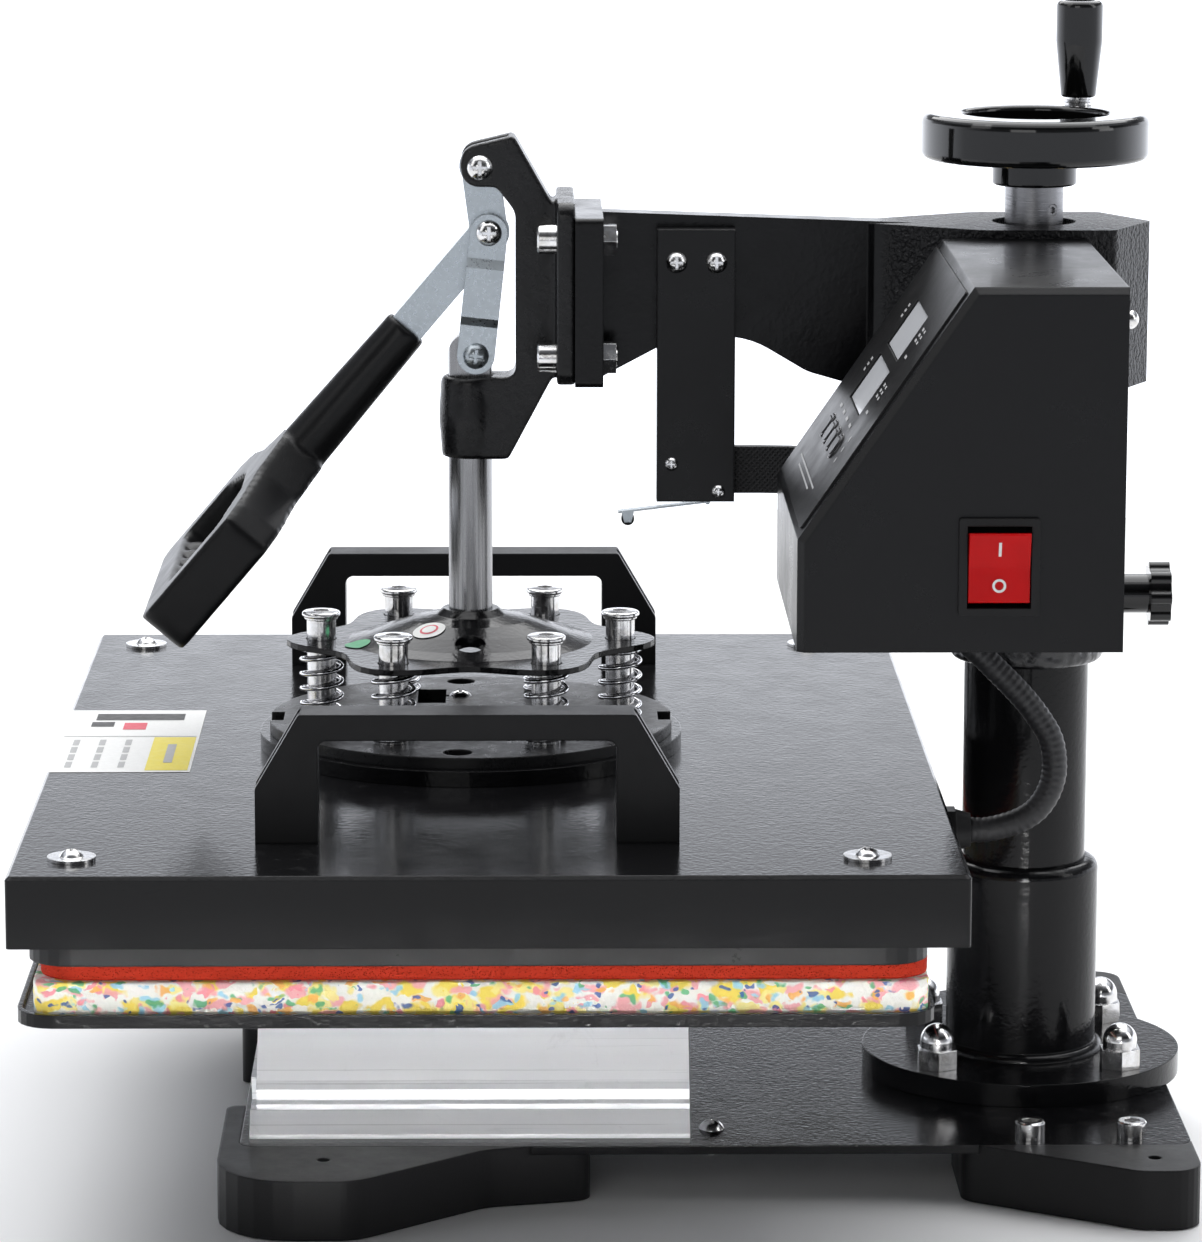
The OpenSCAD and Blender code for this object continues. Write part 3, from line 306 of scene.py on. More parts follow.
def ground_rod():
    s = Shader("ground_steel", (0.42, 0.42, 0.43), 0.24, 1.0)
    s.edges(0.0004)
    rings = s.noise(1.0, 5.0, 0.6, stretch=(1500.0, 1500.0, 12.0))
    s.bump(rings, 0.00002)
    s.rough(s.span(rings, 0.3, 0.7, 0.16, 0.36))
    streaks = s.noise(1.0, 4.0, 0.6, stretch=(420.0, 420.0, 20.0))
    s.color(s.mix(streaks, (0.22, 0.22, 0.225), (0.36, 0.36, 0.365)))
    return s.mat


def flecked_foam():
    """Off-white foam with torn flecks of coloured foam bonded in."""
    s = Shader("flecked_foam", (0.88, 0.85, 0.76), 0.9, Subsurface_Weight=0.15, Subsurface_Scale=0.003)
    s.set("Subsurface Radius", (0.6, 0.5, 0.35))
    tone = s.mix(s.noise(120.0, 5.0, 0.6), (0.9, 0.86, 0.76), (0.96, 0.95, 0.92))
    jitter = s.node("ShaderNodeTexNoise")
    jitter.inputs["Scale"].default_value = 160.0
    s.link(s.coord, jitter.inputs["Vector"])
    torn = s.node("ShaderNodeVectorMath", operation="MULTIPLY_ADD")
    s.link(jitter.outputs["Color"], torn.inputs[0])
    torn.inputs[1].default_value = (0.011, 0.011, 0.007)
    s.link(s.coord, torn.inputs[2])
    # Each ink has a cell scale, the share of cells left plain, and its colour
    inks = (
        (150.0, 0.5, (0.93, 0.72, 0.06)), (185.0, 0.66, (0.93, 0.42, 0.45)), (210.0, 0.72, (0.95, 0.83, 0.3)),
        (230.0, 0.84, (0.93, 0.3, 0.36)), (270.0, 0.86, (0.35, 0.68, 0.8)), (300.0, 0.86, (0.12, 0.5, 0.22)),
        (260.0, 0.86, (0.95, 0.5, 0.12)), (420.0, 0.93, (0.06, 0.14, 0.4)),
    )
    for i, (scale, rare, ink) in enumerate(inks):
        shift = s.node("ShaderNodeMapping")
        shift.inputs["Location"].default_value = (0.37 * i, 0.11 * i, 0.23 * i)
        shift.inputs["Scale"].default_value = (1.0, 0.75, 1.3)
        s.link(torn.outputs[0], shift.inputs["Vector"])
        cell = s.node("ShaderNodeTexVoronoi", feature="F1")
        cell.inputs["Scale"].default_value = scale
        s.link(shift.outputs["Vector"], cell.inputs["Vector"])
        chosen = s.math("GREATER_THAN", s.split(cell.outputs["Color"], 0), rare)
        soft = s.span(cell.outputs["Distance"], 0.6, 0.42)
        tone = s.mix(s.math("MULTIPLY", chosen, s.math("MULTIPLY", soft, 0.9)), tone, ink)
    s.color(tone)
    s.bump(s.noise(900.0, 4.0, 0.7), 0.0004)
    s.bump(s.voronoi(260.0), 0.0007)
    return s.mat


def sponge():
    s = Shader("sponge_silicone", (0.5, 0.04, 0.016), 0.85, Specular_IOR_Level=0.1)
    pores = s.span(s.voronoi(1500.0), 0.35, 0.08)
    large = s.span(s.voronoi(620.0), 0.22, 0.06)
    tone = s.mix(s.noise(70.0, 5.0, 0.6), (0.44, 0.03, 0.013), (0.56, 0.045, 0.02))
    # Painted shade: the pores are painted a darker red where shade falls in them; the bump below also presses
    # them in
    s.color(s.mix(s.math("MAXIMUM", pores, large), tone, (0.22, 0.014, 0.008)))
    s.bump(s.math("SUBTRACT", 1.0, s.math("MAXIMUM", pores, large)), 0.0004)
    s.bump(s.noise(1200.0, 3.0), 0.0002)
    return s.mat


def fibre_board():
    s = Shader("fibre_board", (0.7, 0.66, 0.52), 0.95)
    layers = s.noise(1.0, 6.0, 0.7, stretch=(300.0, 300.0, 900.0))
    s.color(s.mix(layers, (0.62, 0.57, 0.43), (0.8, 0.77, 0.64)))
    s.bump(s.noise(1400.0, 4.0), 0.0003)
    return s.mat


def ribbed_cable():
    s = Shader("cable_jacket", (0.013, 0.013, 0.014), 0.42)
    s.color(s.mix(s.noise(600.0, 3.0), (0.008, 0.008, 0.009), (0.024, 0.024, 0.026)))
    s.bump(s.noise(2600.0, 2.0), 0.00006)
    s.rough(s.span(s.noise(300.0, 4.0), 0.3, 0.7, 0.34, 0.55))
    return s.mat


def braid():
    s = Shader("braided_sleeve", (0.008, 0.008, 0.009), 0.6)
    one_way = s.diagonal_wave(330.0, (1.0, 1.0, 1.0))
    other_way = s.diagonal_wave(330.0, (-1.0, -1.0, 1.0))
    weave = s.math("MAXIMUM", one_way, other_way)
    # Painted shade: the gaps between the strands of the weave are painted darker than the raised strands; the
    # bump below also raises them
    s.color(s.mix(weave, (0.004, 0.004, 0.004), (0.02, 0.02, 0.022)))
    s.bump(weave, 0.0003)
    return s.mat


def red_rocker():
    s = Shader("red_rocker", (0.75, 0.006, 0.008), 0.25, Specular_IOR_Level=0.1,
               Transmission_Weight=0.12, Subsurface_Weight=0.25, Subsurface_Scale=0.004, IOR=1.5)
    s.set("Subsurface Radius", (1.0, 0.15, 0.1))
    s.color(s.mix(s.noise(90.0, 3.0), (0.5, 0.002, 0.003), (0.7, 0.005, 0.006)))
    s.edges(0.0006)
    s.bump(s.noise(700.0, 2.0), 0.00002)
    return s.mat


def display_glass():
    s = Shader("display_window", (0.5, 0.51, 0.53), 0.3, Coat_Weight=0.4, Coat_Roughness=0.12)
    s.color(s.mix(s.noise(50.0, 4.0), (0.5, 0.51, 0.53), (0.64, 0.65, 0.67)))
    s.bump(s.noise(3000.0, 2.0), 0.00001)
    return s.mat


def printed(name, color):
    rough = 0.5
    s = Shader(name, color, rough)
    s.color(s.mix(s.noise(500.0, 5.0, 0.7), tuple(c * 0.82 for c in color), color))
    s.rough(s.span(s.noise(300.0, 3.0), 0.3, 0.7, rough * 0.85, rough * 1.15))
    return s.mat


SKINS = {
    "powder": powder("powder_coat", (0.004, 0.004, 0.0045), 0.00009),
    "cover": powder("cover_coat", (0.005, 0.005, 0.0055), 0.00006),
    "hammered": hammered(),
    "arm": arm_coat(),
    "cast": cast("cast_coat"),
    "adapter": cast("adapter_coat", (0.007, 0.007, 0.0075), 0.00008, 700.0, 0.28),
    "foot": plastic("foot_plastic", (0.009, 0.009, 0.0095), 0.4, 0.00004, 1800.0, 0.0011),
    "plastic": plastic("matte_plastic"),
    "handle": plastic("handle_plastic", (0.008, 0.008, 0.0085), 0.38, 0.00003, 2200.0, 0.0010),
    "grip": plastic("grip_plastic", (0.0065, 0.0065, 0.007), 0.34, 0.00004, 1500.0, 0.0012),
    "phenolic": plastic("phenolic", (0.0035, 0.0035, 0.0036), 0.07, 0.00001, 300.0, 0.0009, 0.6),
    "sheet": plastic("satin_sheet", (0.0042, 0.0042, 0.0048), 0.3, 0.00002, 1500.0, 0.0010, 0.1),
    "film": plastic("panel_film", (0.009, 0.009, 0.0095), 0.36, 0.00001, 2000.0, 0.0002),
    "key": plastic("key_plastic", (0.03, 0.03, 0.032), 0.36, 0.00001, 2000.0, 0.0006),
    "rubber": plastic("black_rubber", (0.01, 0.01, 0.01), 0.6, 0.00005, 1500.0, 0.0006),
    "bright": bright_plate(),
    "zinc": metal("satin_zinc", (0.44, 0.48, 0.51), 0.3, (1.0, 1.0, 1.0), 0.00002, 700.0),
    "wire": metal("spring_wire", (0.74, 0.74, 0.76), 0.16, (1.0, 1.0, 1.0), 0.00001, 400.0, 0.0001),
    "washer": metal("washer_bronze", (0.62, 0.47, 0.22), 0.3, (1.0, 1.0, 8.0)),
    "stem": metal("turned_zinc", (0.26, 0.26, 0.27), 0.3, (0.2, 0.2, 6.0), 0.00002, 600.0),
    "plate": cast("coated_plate", (0.008, 0.008, 0.0085), 0.00004, 900.0, 0.34),
    "rod": ground_rod(),
    "extruded": extruded(),
    "foam": flecked_foam(),
    "sponge": sponge(),
    "fibre": fibre_board(),
    "cable": ribbed_cable(),
    "braid": braid(),
    "red": red_rocker(),
    "display": display_glass(),
    "white": printed("white_print", (0.85, 0.85, 0.83)),
    "ink": printed("dark_print", (0.02, 0.02, 0.02)),
    "grey_ink": printed("grey_print", (0.42, 0.42, 0.42)),
    "yellow": printed("yellow_print", (0.86, 0.72, 0.06)),
    "red_ink": printed("red_print", (0.7, 0.06, 0.1)),
    "green": printed("green_print", (0.1, 0.45, 0.22)),
}

NODE_SKINS = {
    "powder": "base_plate column_socket column_post platen_tray spider_plate mounting_disc",
    "arm": "swing_arm",
    "hammered": "column_sleeve",
    "cover": "heater_cover",
    "cast": "head_casting",
    "adapter": "adapter_plate",
    "foot": "front_right_foot front_left_foot rear_right_foot rear_left_foot",
    "plastic": "rocker_bezel power_inlet limit_switch roller cable_gland",
    "handle": "left_handle right_handle",
    "grip": "grip_handle",
    "phenolic": "handwheel crank_handle lock_knob",
    "sheet": "control_box box_mount_plate switch_bracket",
    "film": "panel_overlay",
    "key": "mode_key up_key down_key start_key",
    "rubber": "cable_grommet",
    "bright": "base_fasteners arm_fasteners top_pivot_pin middle_pivot_pin crank_pin spring_bolts "
              "cover_fasteners",
    "zinc": "lever_bar link_straps roller_lever",
    "wire": "springs",
    "washer": "thrust_washer",
    "stem": "stem_collar lead_screw",
    "plate": "heating_plate",
    "rod": "press_rod",
    "extruded": "lower_rail slide_carriage",
    "foam": "foam_pad",
    "sponge": "silicone_pad",
    "fibre": "insulation",
    "cable": "heater_cable",
    "braid": "switch_cable",
    "red": "rocker_button",
    "display": "display_board",
}


def paint(obj, skin):
    obj.data.materials.clear()
    obj.data.materials.append(SKINS[skin])
    return obj


for skin, names in NODE_SKINS.items():
    for name in names.split():
        paint(nodes[name], skin)


# ------------------------------------------------------------------ mesh tools

def new_piece(name, verts, faces, skin, smooth=True):
    mesh = bpy.data.meshes.new(name)
    mesh.from_pydata([tuple(v) for v in verts], [], faces)
    mesh.validate()
    mesh.update()
    if smooth:
        mesh.shade_smooth()
    obj = bpy.data.objects.new(name, mesh)
    bpy.context.scene.collection.objects.link(obj)
    return paint(obj, skin)


def tube_mesh(path, radius, sides, verts, faces):
    """Adds a closed tube along path to verts and faces.

    The radius is a number, or a function of the distance along the path.
    """
    start = len(verts)
    tangents = []
    for i in range(len(path)):
        a, b = path[max(0, i - 1)], path[min(len(path) - 1, i + 1)]
        tangents.append((b - a).normalized())
    side = tangents[0].orthogonal().normalized()
    along = 0.0
    for i, (p, t) in enumerate(zip(path, tangents)):
        if i:
            along += (p - path[i - 1]).length
        side = (side - t * side.dot(t)).normalized()
        other = t.cross(side)
        r = radius(along) if callable(radius) else radius
        for k in range(sides):
            a = 2 * math.pi * k / sides
            verts.append(p + r * (math.cos(a) * side + math.sin(a) * other))
    for i in range(len(path) - 1):
        for k in range(sides):
            a, b = start + i * sides + k, start + i * sides + (k + 1) % sides
            faces.append((a, b, b + sides, a + sides))
    last = start + (len(path) - 1) * sides
    faces.append(tuple(start + k for k in reversed(range(sides))))
    faces.append(tuple(last + k for k in range(sides)))


def smooth_path(points, step):
    """Catmull-Rom curve through points, sampled about every step."""
    pts = [Vector(p) for p in points]
    pts = [2 * pts[0] - pts[1], *pts, 2 * pts[-1] - pts[-2]]
    out = [pts[1]]
    for i in range(1, len(pts) - 2):
        a, b, c, d = pts[i - 1:i + 3]
        count = max(1, round((c - b).length / step))
        for k in range(1, count + 1):
            t = k / count
            out.append(0.5 * (2 * b + (c - a) * t + (2 * a - 5 * b + 4 * c - d) * t * t
                              + (3 * b - a - 3 * c + d) * t ** 3))
    return out


def rounded_rect(x0, y0, x1, y1, r, n):
    """Outline of a rectangle with corner radius r, n steps to a corner."""
    out = []
    corners = ((x1 - r, y1 - r, 0), (x0 + r, y1 - r, 90), (x0 + r, y0 + r, 180), (x1 - r, y0 + r, 270))
    for cx, cy, a0 in corners:
        for i in range(n + 1):
            a = math.radians(a0 + 90 * i / n)
            out.append((cx + r * math.cos(a), cy + r * math.sin(a)))
    return out


# ------------------------------------------------------------------ heater cable

def heater_cable():
    """The stiff ribbed sleeve that loops from the control box down to the heater."""
    plane_x = 0.085
    route = [
        (68, 193.5), (71.5, 190.5), (75.5, 187), (80, 183), (85, 178), (90, 173), (95, 167.5),
        (99.5, 161.5), (103, 155.5), (104.5, 149), (104.5, 142.5), (102.5, 136), (98.5, 130.5),
        (93, 127), (87, 125), (82, 124), (77, 124),
    ]
    path = smooth_path([(plane_x, y / 1000, z / 1000) for y, z in route], 0.0007)
    outer, groove, pitch = 0.00425, 0.00028, 0.0023

    def ribbed(d):
        return outer - groove * (0.5 - 0.5 * math.cos(2 * math.pi * d / pitch))

    verts, faces = [], []
    tube_mesh(path, ribbed, 24, verts, faces)
    obj = new_piece("heater_cable_sleeve", verts, faces, "cable")
    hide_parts("heater_cable")
    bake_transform(obj)


heater_cable()


# ------------------------------------------------------------------ springs

def coil_rise(t):
    """Share of a spring's height reached at share t of its wire; both ends lie nearly flat."""
    end_wire, end_rise = 0.13, 0.06
    if t < end_wire:
        return end_rise * t / end_wire
    if t > 1 - end_wire:
        return 1 - end_rise * (1 - t) / end_wire
    return end_rise + (1 - 2 * end_rise) * (t - end_wire) / (1 - 2 * end_wire)


def coil_springs():
    lo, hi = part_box("springs")
    centre_y = (lo.y + hi.y) / 2
    spring_count, turns, samples = 6, 5.5, 220
    ring_radius, wire_radius, coil_radius = 0.0515, 0.0008, 0.0069
    verts, faces = [], []
    for n in range(spring_count):
        a = math.radians(30 + 60 * n)
        cx, cy = ring_radius * math.cos(a), centre_y + ring_radius * math.sin(a)
        phase = rng.uniform(0, 2 * math.pi)
        path = []
        for i in range(samples + 1):
            t = i / samples
            z = lo.z + wire_radius + (hi.z - lo.z - 2 * wire_radius) * coil_rise(t)
            w = phase + 2 * math.pi * turns * t
            path.append(Vector((cx + coil_radius * math.cos(w), cy + coil_radius * math.sin(w), z)))
        tube_mesh(path, wire_radius, 10, verts, faces)
    obj = new_piece("coil_springs", verts, faces, "wire")
    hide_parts("springs")
    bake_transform(obj)


coil_springs()


# ------------------------------------------------------------------ pads

def pad(name, node, skin, corner, edge, wobble):
    """A soft slab in its CAD box, with rounded edges and a slightly uneven cut face."""
    lo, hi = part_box(node)
    # Rings of points from the bottom face to the top one, each an inset and a height
    levels = ((edge, 0.0), (edge * 0.3, edge * 0.3), (0.0, edge))
    rings = [(inset, lo.z + z) for inset, z in levels]
    steps = 6
    for i in range(1, steps):
        rings.append((0.0, lo.z + edge + (hi.z - lo.z - 2 * edge) * i / steps))
    rings += [(inset, hi.z - z) for inset, z in reversed(levels)]
    outline = rounded_rect(lo.x, lo.y, hi.x, hi.y, corner, 10)
    spacing = 0.004
    dense = []
    for (ax, ay), (bx, by) in zip(outline, outline[1:] + outline[:1]):
        count = max(1, round(math.hypot(bx - ax, by - ay) / spacing))
        dense += [(ax + (bx - ax) * i / count, ay + (by - ay) * i / count) for i in range(count)]
    cx, cy = (lo.x + hi.x) / 2, (lo.y + hi.y) / 2
    n = len(dense)
    # A move toward the centre isn't square to the edge, so it goes a little further
    slant = 1.15
    verts, faces = [], []
    for level, (inset, z) in enumerate(rings):
        for k, (x, y) in enumerate(dense):
            inward = Vector((cx - x, cy - y)).normalized()
            ripple = math.sin(k * 0.37 + level * 0.9) * math.sin(k * 0.093 + level * 1.7)
            move = (inset + wobble * (0.5 + 0.5 * ripple)) * slant
            verts.append((x + inward.x * move, y + inward.y * move, z))
    for level in range(len(rings) - 1):
        for k in range(n):
            a, b = level * n + k, level * n + (k + 1) % n
            faces.append((a, b, b + n, a + n))
    faces.append(tuple(reversed(range(n))))
    faces.append(tuple((len(rings) - 1) * n + k for k in range(n)))
    obj = new_piece(name, verts, faces, skin)
    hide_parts(node)
    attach(obj, "lower_platen")


pad("foam_layer", "foam_pad", "foam", 0.007, 0.0008, 0.0004)
pad("silicone_layer", "silicone_pad", "sponge", 0.012, 0.0011, 0.0002)


# ------------------------------------------------------------------ castings and mouldings

def softened(name, node, body, skin, voxel, passes, extra=None):
    """A copy of a CAD solid with its edges rounded off as a casting or moulding has them.

    extra adds more solids to the copy before it is rounded.
    """
    source = nodes[node]
    bm = bmesh.new()
    bm.from_mesh(source.data)
    if extra:
        extra(bm)
    mesh = bpy.data.meshes.new(name)
    bm.to_mesh(mesh)
    bm.free()
    obj = bpy.data.objects.new(name, mesh)
    bpy.context.scene.collection.objects.link(obj)
    remesh = obj.modifiers.new("remesh", "REMESH")
    remesh.mode = "VOXEL"
    remesh.voxel_size = voxel
    relax = obj.modifiers.new("relax", "SMOOTH")
    relax.factor = 0.6
    relax.iterations = passes
    evaluated = obj.evaluated_get(bpy.context.evaluated_depsgraph_get())
    final = bpy.data.meshes.new_from_object(evaluated)
    obj.modifiers.clear()
    obj.data = final
    final.shade_smooth()
    paint(obj, skin)
    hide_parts(node)
    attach(obj, body)


LEVER_TILT = math.radians(90 + 49.6)
MIDDLE_PIVOT = Vector((0, -0.0825, 0.3135))


def on_lever(x, y, s):
    """A point on the lever: x along X, y off it, s down it from the middle pivot."""
    return MIDDLE_PIVOT + Matrix.Rotation(LEVER_TILT, 3, "X") @ Vector((x, y, s))


def finger_bumps(bm):
    """A row of rounded bumps along the grip's outer bar."""
    off_lever, down_lever = -0.0005, 0.1578
    for x in (-0.032, -0.016, 0.0, 0.016, 0.032):
        made = bmesh.ops.create_uvsphere(bm, u_segments=24, v_segments=16, radius=0.0086)
        for v in made["verts"]:
            local = v.co.copy()
            v.co = on_lever(x + local.x, off_lever + local.y * 0.93, down_lever + local.z * 0.9)


softened("moulded_grip", "grip_handle", "lever", "grip", 0.0011, 5, finger_bumps)
softened("cast_head", "head_casting", "arm", "cast", 0.0008, 4)


# ------------------------------------------------------------------ labels and marks

def flat_mark(name, outline, z_of, skin, body):
    """A thin printed film over a top surface whose height is z_of(x, y)."""
    n = len(outline)
    cx = sum(p[0] for p in outline) / n
    cy = sum(p[1] for p in outline) / n
    rings = 5
    verts = [(cx, cy, z_of(cx, cy))]
    for r in range(1, rings + 1):
        for x, y in outline:
            px, py = cx + (x - cx) * r / rings, cy + (y - cy) * r / rings
            verts.append((px, py, z_of(px, py)))
    faces = [(0, 1 + k, 1 + (k + 1) % n) for k in range(n)]
    for r in range(rings - 1):
        for k in range(n):
            a, b = 1 + r * n + k, 1 + r * n + (k + 1) % n
            faces.append((a, a + n, b + n, b))
    obj = new_piece(name, verts, faces, skin)
    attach(obj, body)


# The mounting disc stands on the heater cover
cover_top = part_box("mounting_disc")[0].z


def cover_label():
    film, print_on_film, print_on_block = 0.00012, 0.00020, 0.00028

    def put(name, x0, y0, x1, y1, skin, lift=print_on_film):
        corners = [(x0, y0), (x1, y0), (x1, y1), (x0, y1)]
        flat_mark(name, corners, lambda x, y: cover_top + lift, skin, "platen")

    put("label_base", -0.055, -0.2315, 0.048, -0.1835, "white", film)
    put("label_rule", -0.0105, -0.2305, -0.0095, -0.1845, "grey_ink")
    put("label_block", -0.0085, -0.1990, 0.0455, -0.1845, "yellow")
    put("label_block_line", 0.0035, -0.1935, 0.0335, -0.1905, "grey_ink", print_on_block)
    first_x, step_x, width, height = -0.0045, 0.012, 0.0092, 0.0022
    for row, y in enumerate((-0.2265, -0.2175, -0.2085)):
        for k in range(4):
            x = first_x + k * step_x
            put(f"label_line_{row}_{k}", x, y, x + width, y + height, "grey_ink")
    put("label_bar_long", -0.0485, -0.2215, -0.0375, -0.1905, "ink")
    put("label_bar_short", -0.0345, -0.2225, -0.0265, -0.2145, "ink")
    put("label_spot", -0.0330, -0.2110, -0.0215, -0.2030, "red_ink")


cover_label()


# ------------------------------------------------------------------ round stickers on the spider

def dome_height(r):
    """Height of the spider plate's top at distance r from the press rod."""
    steps = (
        (0.0, 0.1835), (0.012, 0.1813), (0.020, 0.1798), (0.028, 0.1771), (0.036, 0.1741), (0.042, 0.1725),
    )
    for (r0, z0), (r1, z1) in zip(steps, steps[1:]):
        if r < r1:
            return z0 + (z1 - z0) * (r - r0) / (r1 - r0)
    return steps[-1][1]


def stickers():
    lo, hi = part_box("press_rod")
    rod_x, rod_y = (lo.x + hi.x) / 2, (lo.y + hi.y) / 2
    sides = 32

    def put(name, cx, cy, rx, ry, lift, skin):
        turns = [2 * math.pi * k / sides for k in range(sides)]
        outline = [(cx + rx * math.cos(a), cy + ry * math.sin(a)) for a in turns]

        def height(x, y):
            return dome_height(math.hypot(x - rod_x, y - rod_y)) + lift

        flat_mark(name, outline, height, skin, "plunger")

    put("sticker_white", 0.0185, -0.1031, 0.0056, 0.0056, 0.00035, "white")
    put("sticker_ring", 0.0185, -0.1031, 0.0032, 0.0032, 0.00045, "red_ink")
    put("sticker_core", 0.0185, -0.1031, 0.0024, 0.0024, 0.00055, "white")
    put("sticker_green", 0.0135, -0.1277, 0.0050, 0.0044, 0.00030, "green")


stickers()


# ------------------------------------------------------------------ switch and panel marks

def box_ring(centre, u, v, ru, rv, width):
    """A flat ring with radii ru and rv along u and v; width is its share of the radius."""
    count = 28
    verts, faces = [], []
    for i in range(count):
        a = 2 * math.pi * i / count
        for f in (1, 1 - width):
            verts.append(centre + u * (ru * f * math.cos(a)) + v * (rv * f * math.sin(a)))
    for i in range(count):
        j = (i + 1) % count
        faces.append((2 * i, 2 * j, 2 * j + 1, 2 * i + 1))
    return verts, faces


def bar(centre, u, v, w, h):
    """A flat bar, w along u and h along v."""
    verts = [centre + u * (a * w / 2) + v * (b * h / 2) for a, b in ((-1, -1), (1, -1), (1, 1), (-1, 1))]
    return verts, [(0, 1, 2, 3)]


def rocker_marks():
    """The bar on the upper half of the rocker, which leans out, and the ring on the lower half."""
    lo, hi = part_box("rocker_button")
    cy, cz = (lo.y + hi.y) / 2, 0.226
    face, proud = 0.1616, 0.0003
    bar_up, ring_down, ring_radius = 0.0064, 0.0058, 0.0022
    lean = math.atan2(0.0032, 0.0114)
    u = Vector((0, 1, 0))
    v = Vector((math.sin(lean), 0, math.cos(lean)))
    out = Vector((math.cos(lean), 0, -math.sin(lean)))
    made = bar(Vector((face, cy, cz)) + v * bar_up + out * proud, u, v, 0.0009, 0.0048)
    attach(new_piece("rocker_on_mark", *made, "white", False), "rocker")
    flat_v = Vector((0, 0, 1))
    made = box_ring(Vector((face + proud, cy, cz - ring_down)), u, flat_v, ring_radius, ring_radius, 0.36)
    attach(new_piece("rocker_off_mark", *made, "white", False), "rocker")


rocker_marks()


def panel_marks():
    """Generic printed marks on the sloping panel, with no words or numbers in them."""
    bottom, top = Vector((0, 0.015, 0.2342)), Vector((0, 0.0697, 0.3142))
    up = (top - bottom).normalized()
    across = Vector((1, 0, 0))
    out = across.cross(up)
    proud = 0.00092
    verts, faces = [], []

    def add(made):
        start = len(verts)
        verts.extend(made[0])
        faces.extend(tuple(start + i for i in f) for f in made[1])

    def at(x, s):
        """A point of the panel: x along X, s up the slope."""
        return bottom + across * x + up * s + out * proud

    # Beside each of the two displays: three stacks of short bars, and one bar below
    for s in (0.048, 0.0695):
        for x, w in ((0.0625, 0.004), (0.124, 0.004), (0.130, 0.003)):
            for k in (-1, 0, 1):
                add(bar(at(x, s + k * 0.0021 + 0.003), across, up, w, 0.0011))
        add(bar(at(0.127, s - 0.005), across, up, 0.005, 0.0011))
    # A bar above each of the four keys and a thin ring round it
    for x in (0.067, 0.082, 0.097, 0.112):
        add(bar(at(x, 0.0350), across, up, 0.006, 0.0012))
        add(box_ring(at(x, 0.027), across, up, 0.0066, 0.0046, 0.06))
    # Three dots to the right of the keys, and two lines under them
    for k in range(3):
        add(box_ring(at(0.130, 0.033 - 0.004 * k), across, up, 0.0011, 0.0011, 0.9))
    add(bar(at(0.090, 0.0130), across, up, 0.072, 0.0007))
    add(bar(at(0.090, 0.0108), across, up, 0.052, 0.0007))
    obj = new_piece("panel_marks", verts, faces, "grey_ink", False)
    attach(obj, "arm")


panel_marks()


# ------------------------------------------------------------------ studio

def area_light(name, at, aim, size, power, spread):
    data = bpy.data.lights.new(name, "AREA")
    data.shape = "RECTANGLE"
    data.size, data.size_y = size
    data.energy = power
    data.spread = math.radians(spread)
    lamp = bpy.data.objects.new(name, data)
    bpy.context.scene.collection.objects.link(lamp)
    lamp.location = at
    lamp.rotation_euler = (Vector(aim) - Vector(at)).to_track_quat("-Z", "Y").to_euler()


def pale_floor():
    mesh = bpy.data.meshes.new("floor")
    bm = bmesh.new()
    bmesh.ops.create_circle(bm, cap_ends=True, segments=96, radius=1.3)
    bm.to_mesh(mesh)
    bm.free()
    floor = bpy.data.objects.new("floor", mesh)
    bpy.context.scene.collection.objects.link(floor)
    floor.location.z = -0.0005
    s = Shader("pale_floor", (0.9, 0.9, 0.9), 0.6)
    s.color(s.mix(s.noise(3.0, 3.0), (0.89, 0.89, 0.89), (0.91, 0.91, 0.91)))
    floor.data.materials.append(s.mat)


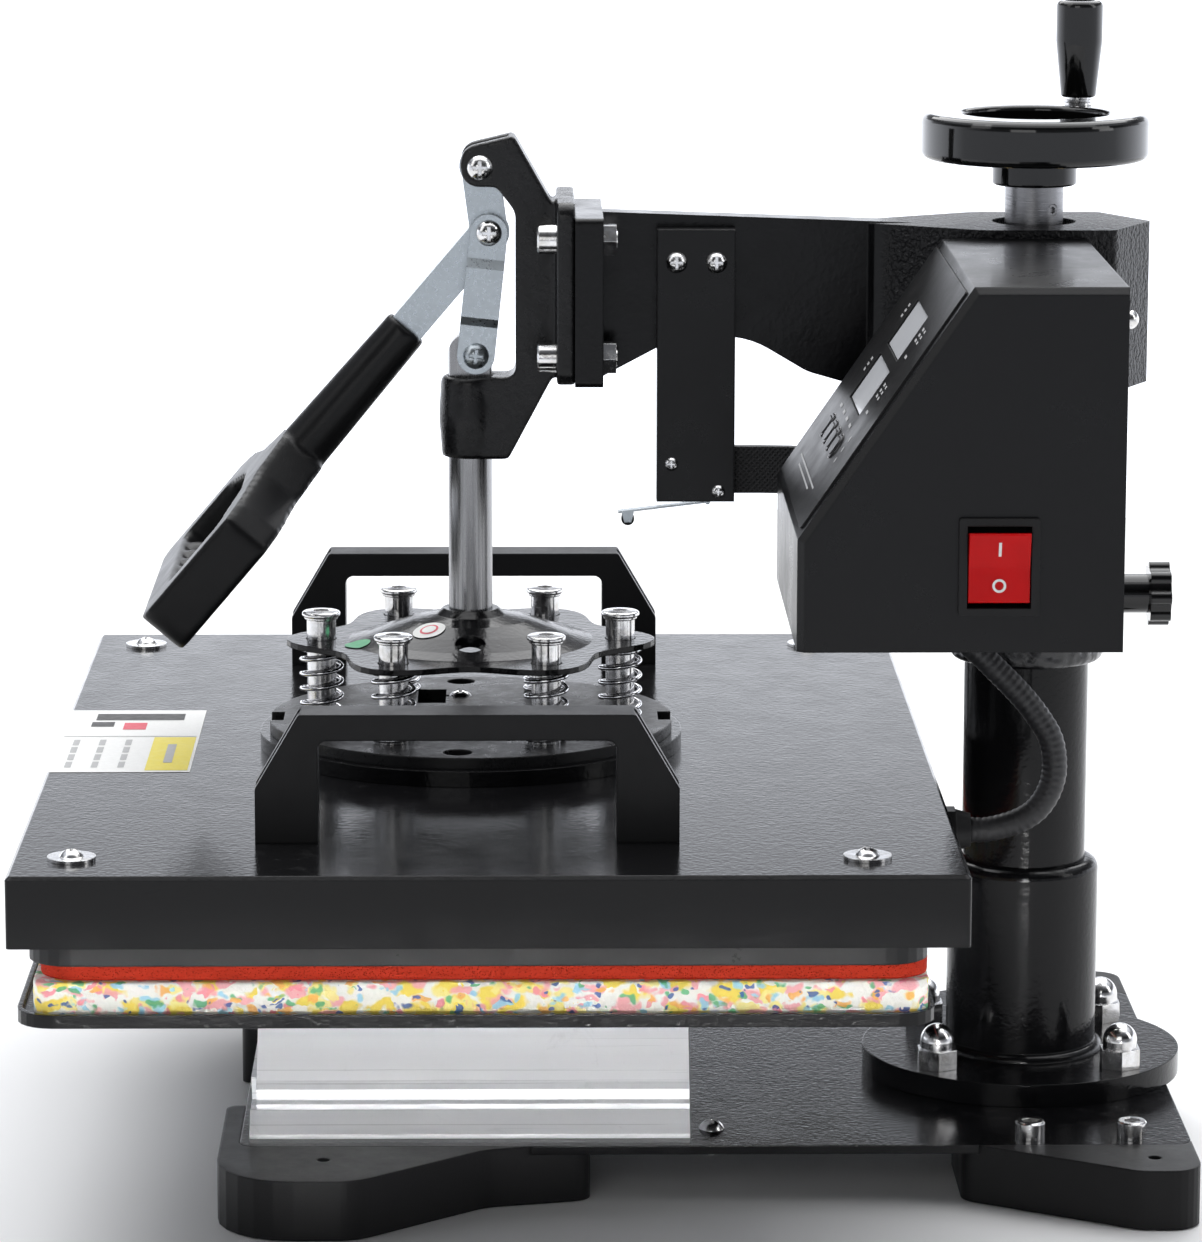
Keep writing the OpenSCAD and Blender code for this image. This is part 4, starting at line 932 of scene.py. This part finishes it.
def studio_world():
    """Soft surroundings: bright behind the press and below, dimmer in front, by height in bands."""
    world = bpy.data.worlds.new("studio")
    bpy.context.scene.world = world
    world.use_nodes = True
    tree = world.node_tree
    link = tree.links.new

    def sum_node(operation, first, second):
        made = tree.nodes.new("ShaderNodeMath")
        made.operation = operation
        for socket, value in zip(made.inputs, (first, second)):
            if isinstance(value, float):
                socket.default_value = value
            else:
                link(value, socket)
        return made.outputs[0]

    where = tree.nodes.new("ShaderNodeTexCoord").outputs["Generated"]
    split = tree.nodes.new("ShaderNodeSeparateXYZ")
    link(where, split.inputs[0])
    toward_x, upward = split.outputs[0], split.outputs[2]
    sides = tree.nodes.new("ShaderNodeMapRange")
    sides.interpolation_type = "SMOOTHSTEP"
    for key, value in (("From Min", 0.7), ("From Max", -0.5), ("To Min", 0.1), ("To Max", 1.0)):
        sides.inputs[key].default_value = value
    link(toward_x, sides.inputs["Value"])
    height = tree.nodes.new("ShaderNodeValToRGB")
    stops = ((0.0, 1.0), (0.600, 1.0), (0.622, 0.22), (0.72, 0.06), (0.86, 0.5), (1.0, 0.6))
    for i, (at, level) in enumerate(stops):
        stop = height.color_ramp.elements[i] if i < 2 else height.color_ramp.elements.new(at)
        stop.position = at
        stop.color = (level * 0.94, level * 0.97, level * 1.04, 1.0)
    half = tree.nodes.new("ShaderNodeMapRange")
    half.inputs["From Min"].default_value = -1.0
    link(upward, half.inputs["Value"])
    link(half.outputs["Result"], height.inputs["Fac"])
    # Below the horizon the dim side still gives half its light
    pale = sum_node("MULTIPLY", sum_node("LESS_THAN", upward, 0.0), 0.5)
    both = tree.nodes.new("ShaderNodeMix")
    both.data_type = "RGBA"
    both.blend_type = "MULTIPLY"
    both.inputs[MIX_FACTOR].default_value = 1.0
    link(height.outputs["Color"], both.inputs[MIX_A])
    link(sum_node("MAXIMUM", pale, sides.outputs["Result"]), both.inputs[MIX_B])
    back = tree.nodes["Background"]
    link(both.outputs[MIX_RESULT], back.inputs["Color"])
    back.inputs["Strength"].default_value = 1.85


def studio():
    pale_floor()
    studio_world()
    bpy.context.scene.view_settings.view_transform = "Standard"
    # Name, place, aim, size, power and spread in degrees
    lights = (
        ("top", (-1.0, 0.0, 1.7), (-0.5, 0, 0), (2.4, 2.6), 52.0, 180.0),
        ("over", (0.35, 0, 1.6), (0.35, 0, 0), (0.5, 2.6), 5.0, 180.0),
        ("front", (1.9, -0.5, 0.8), (0, 0, 0.12), (0.9, 0.7), 4.0, 180.0),
        # Two narrow ones for the near sides of the slide carriage and of the foam above it
        ("low", (0.5, -0.08, 0.028), (0.06, -0.08, 0.052), (0.35, 0.03), 0.055, 15.0),
        ("edge", (0.5, -0.08, 0.091), (0.2, -0.08, 0.093), (0.35, 0.012), 0.02, 12.0),
        ("key", (0.7, -1.6, 1.2), (0, -0.05, 0.2), (0.7, 1.1), 3.0, 180.0),
        ("side", (0.5, 1.5, 0.9), (0, 0.05, 0.2), (0.5, 1.1), 4.0, 180.0),
    )
    for light in lights:
        area_light(*light)


studio()
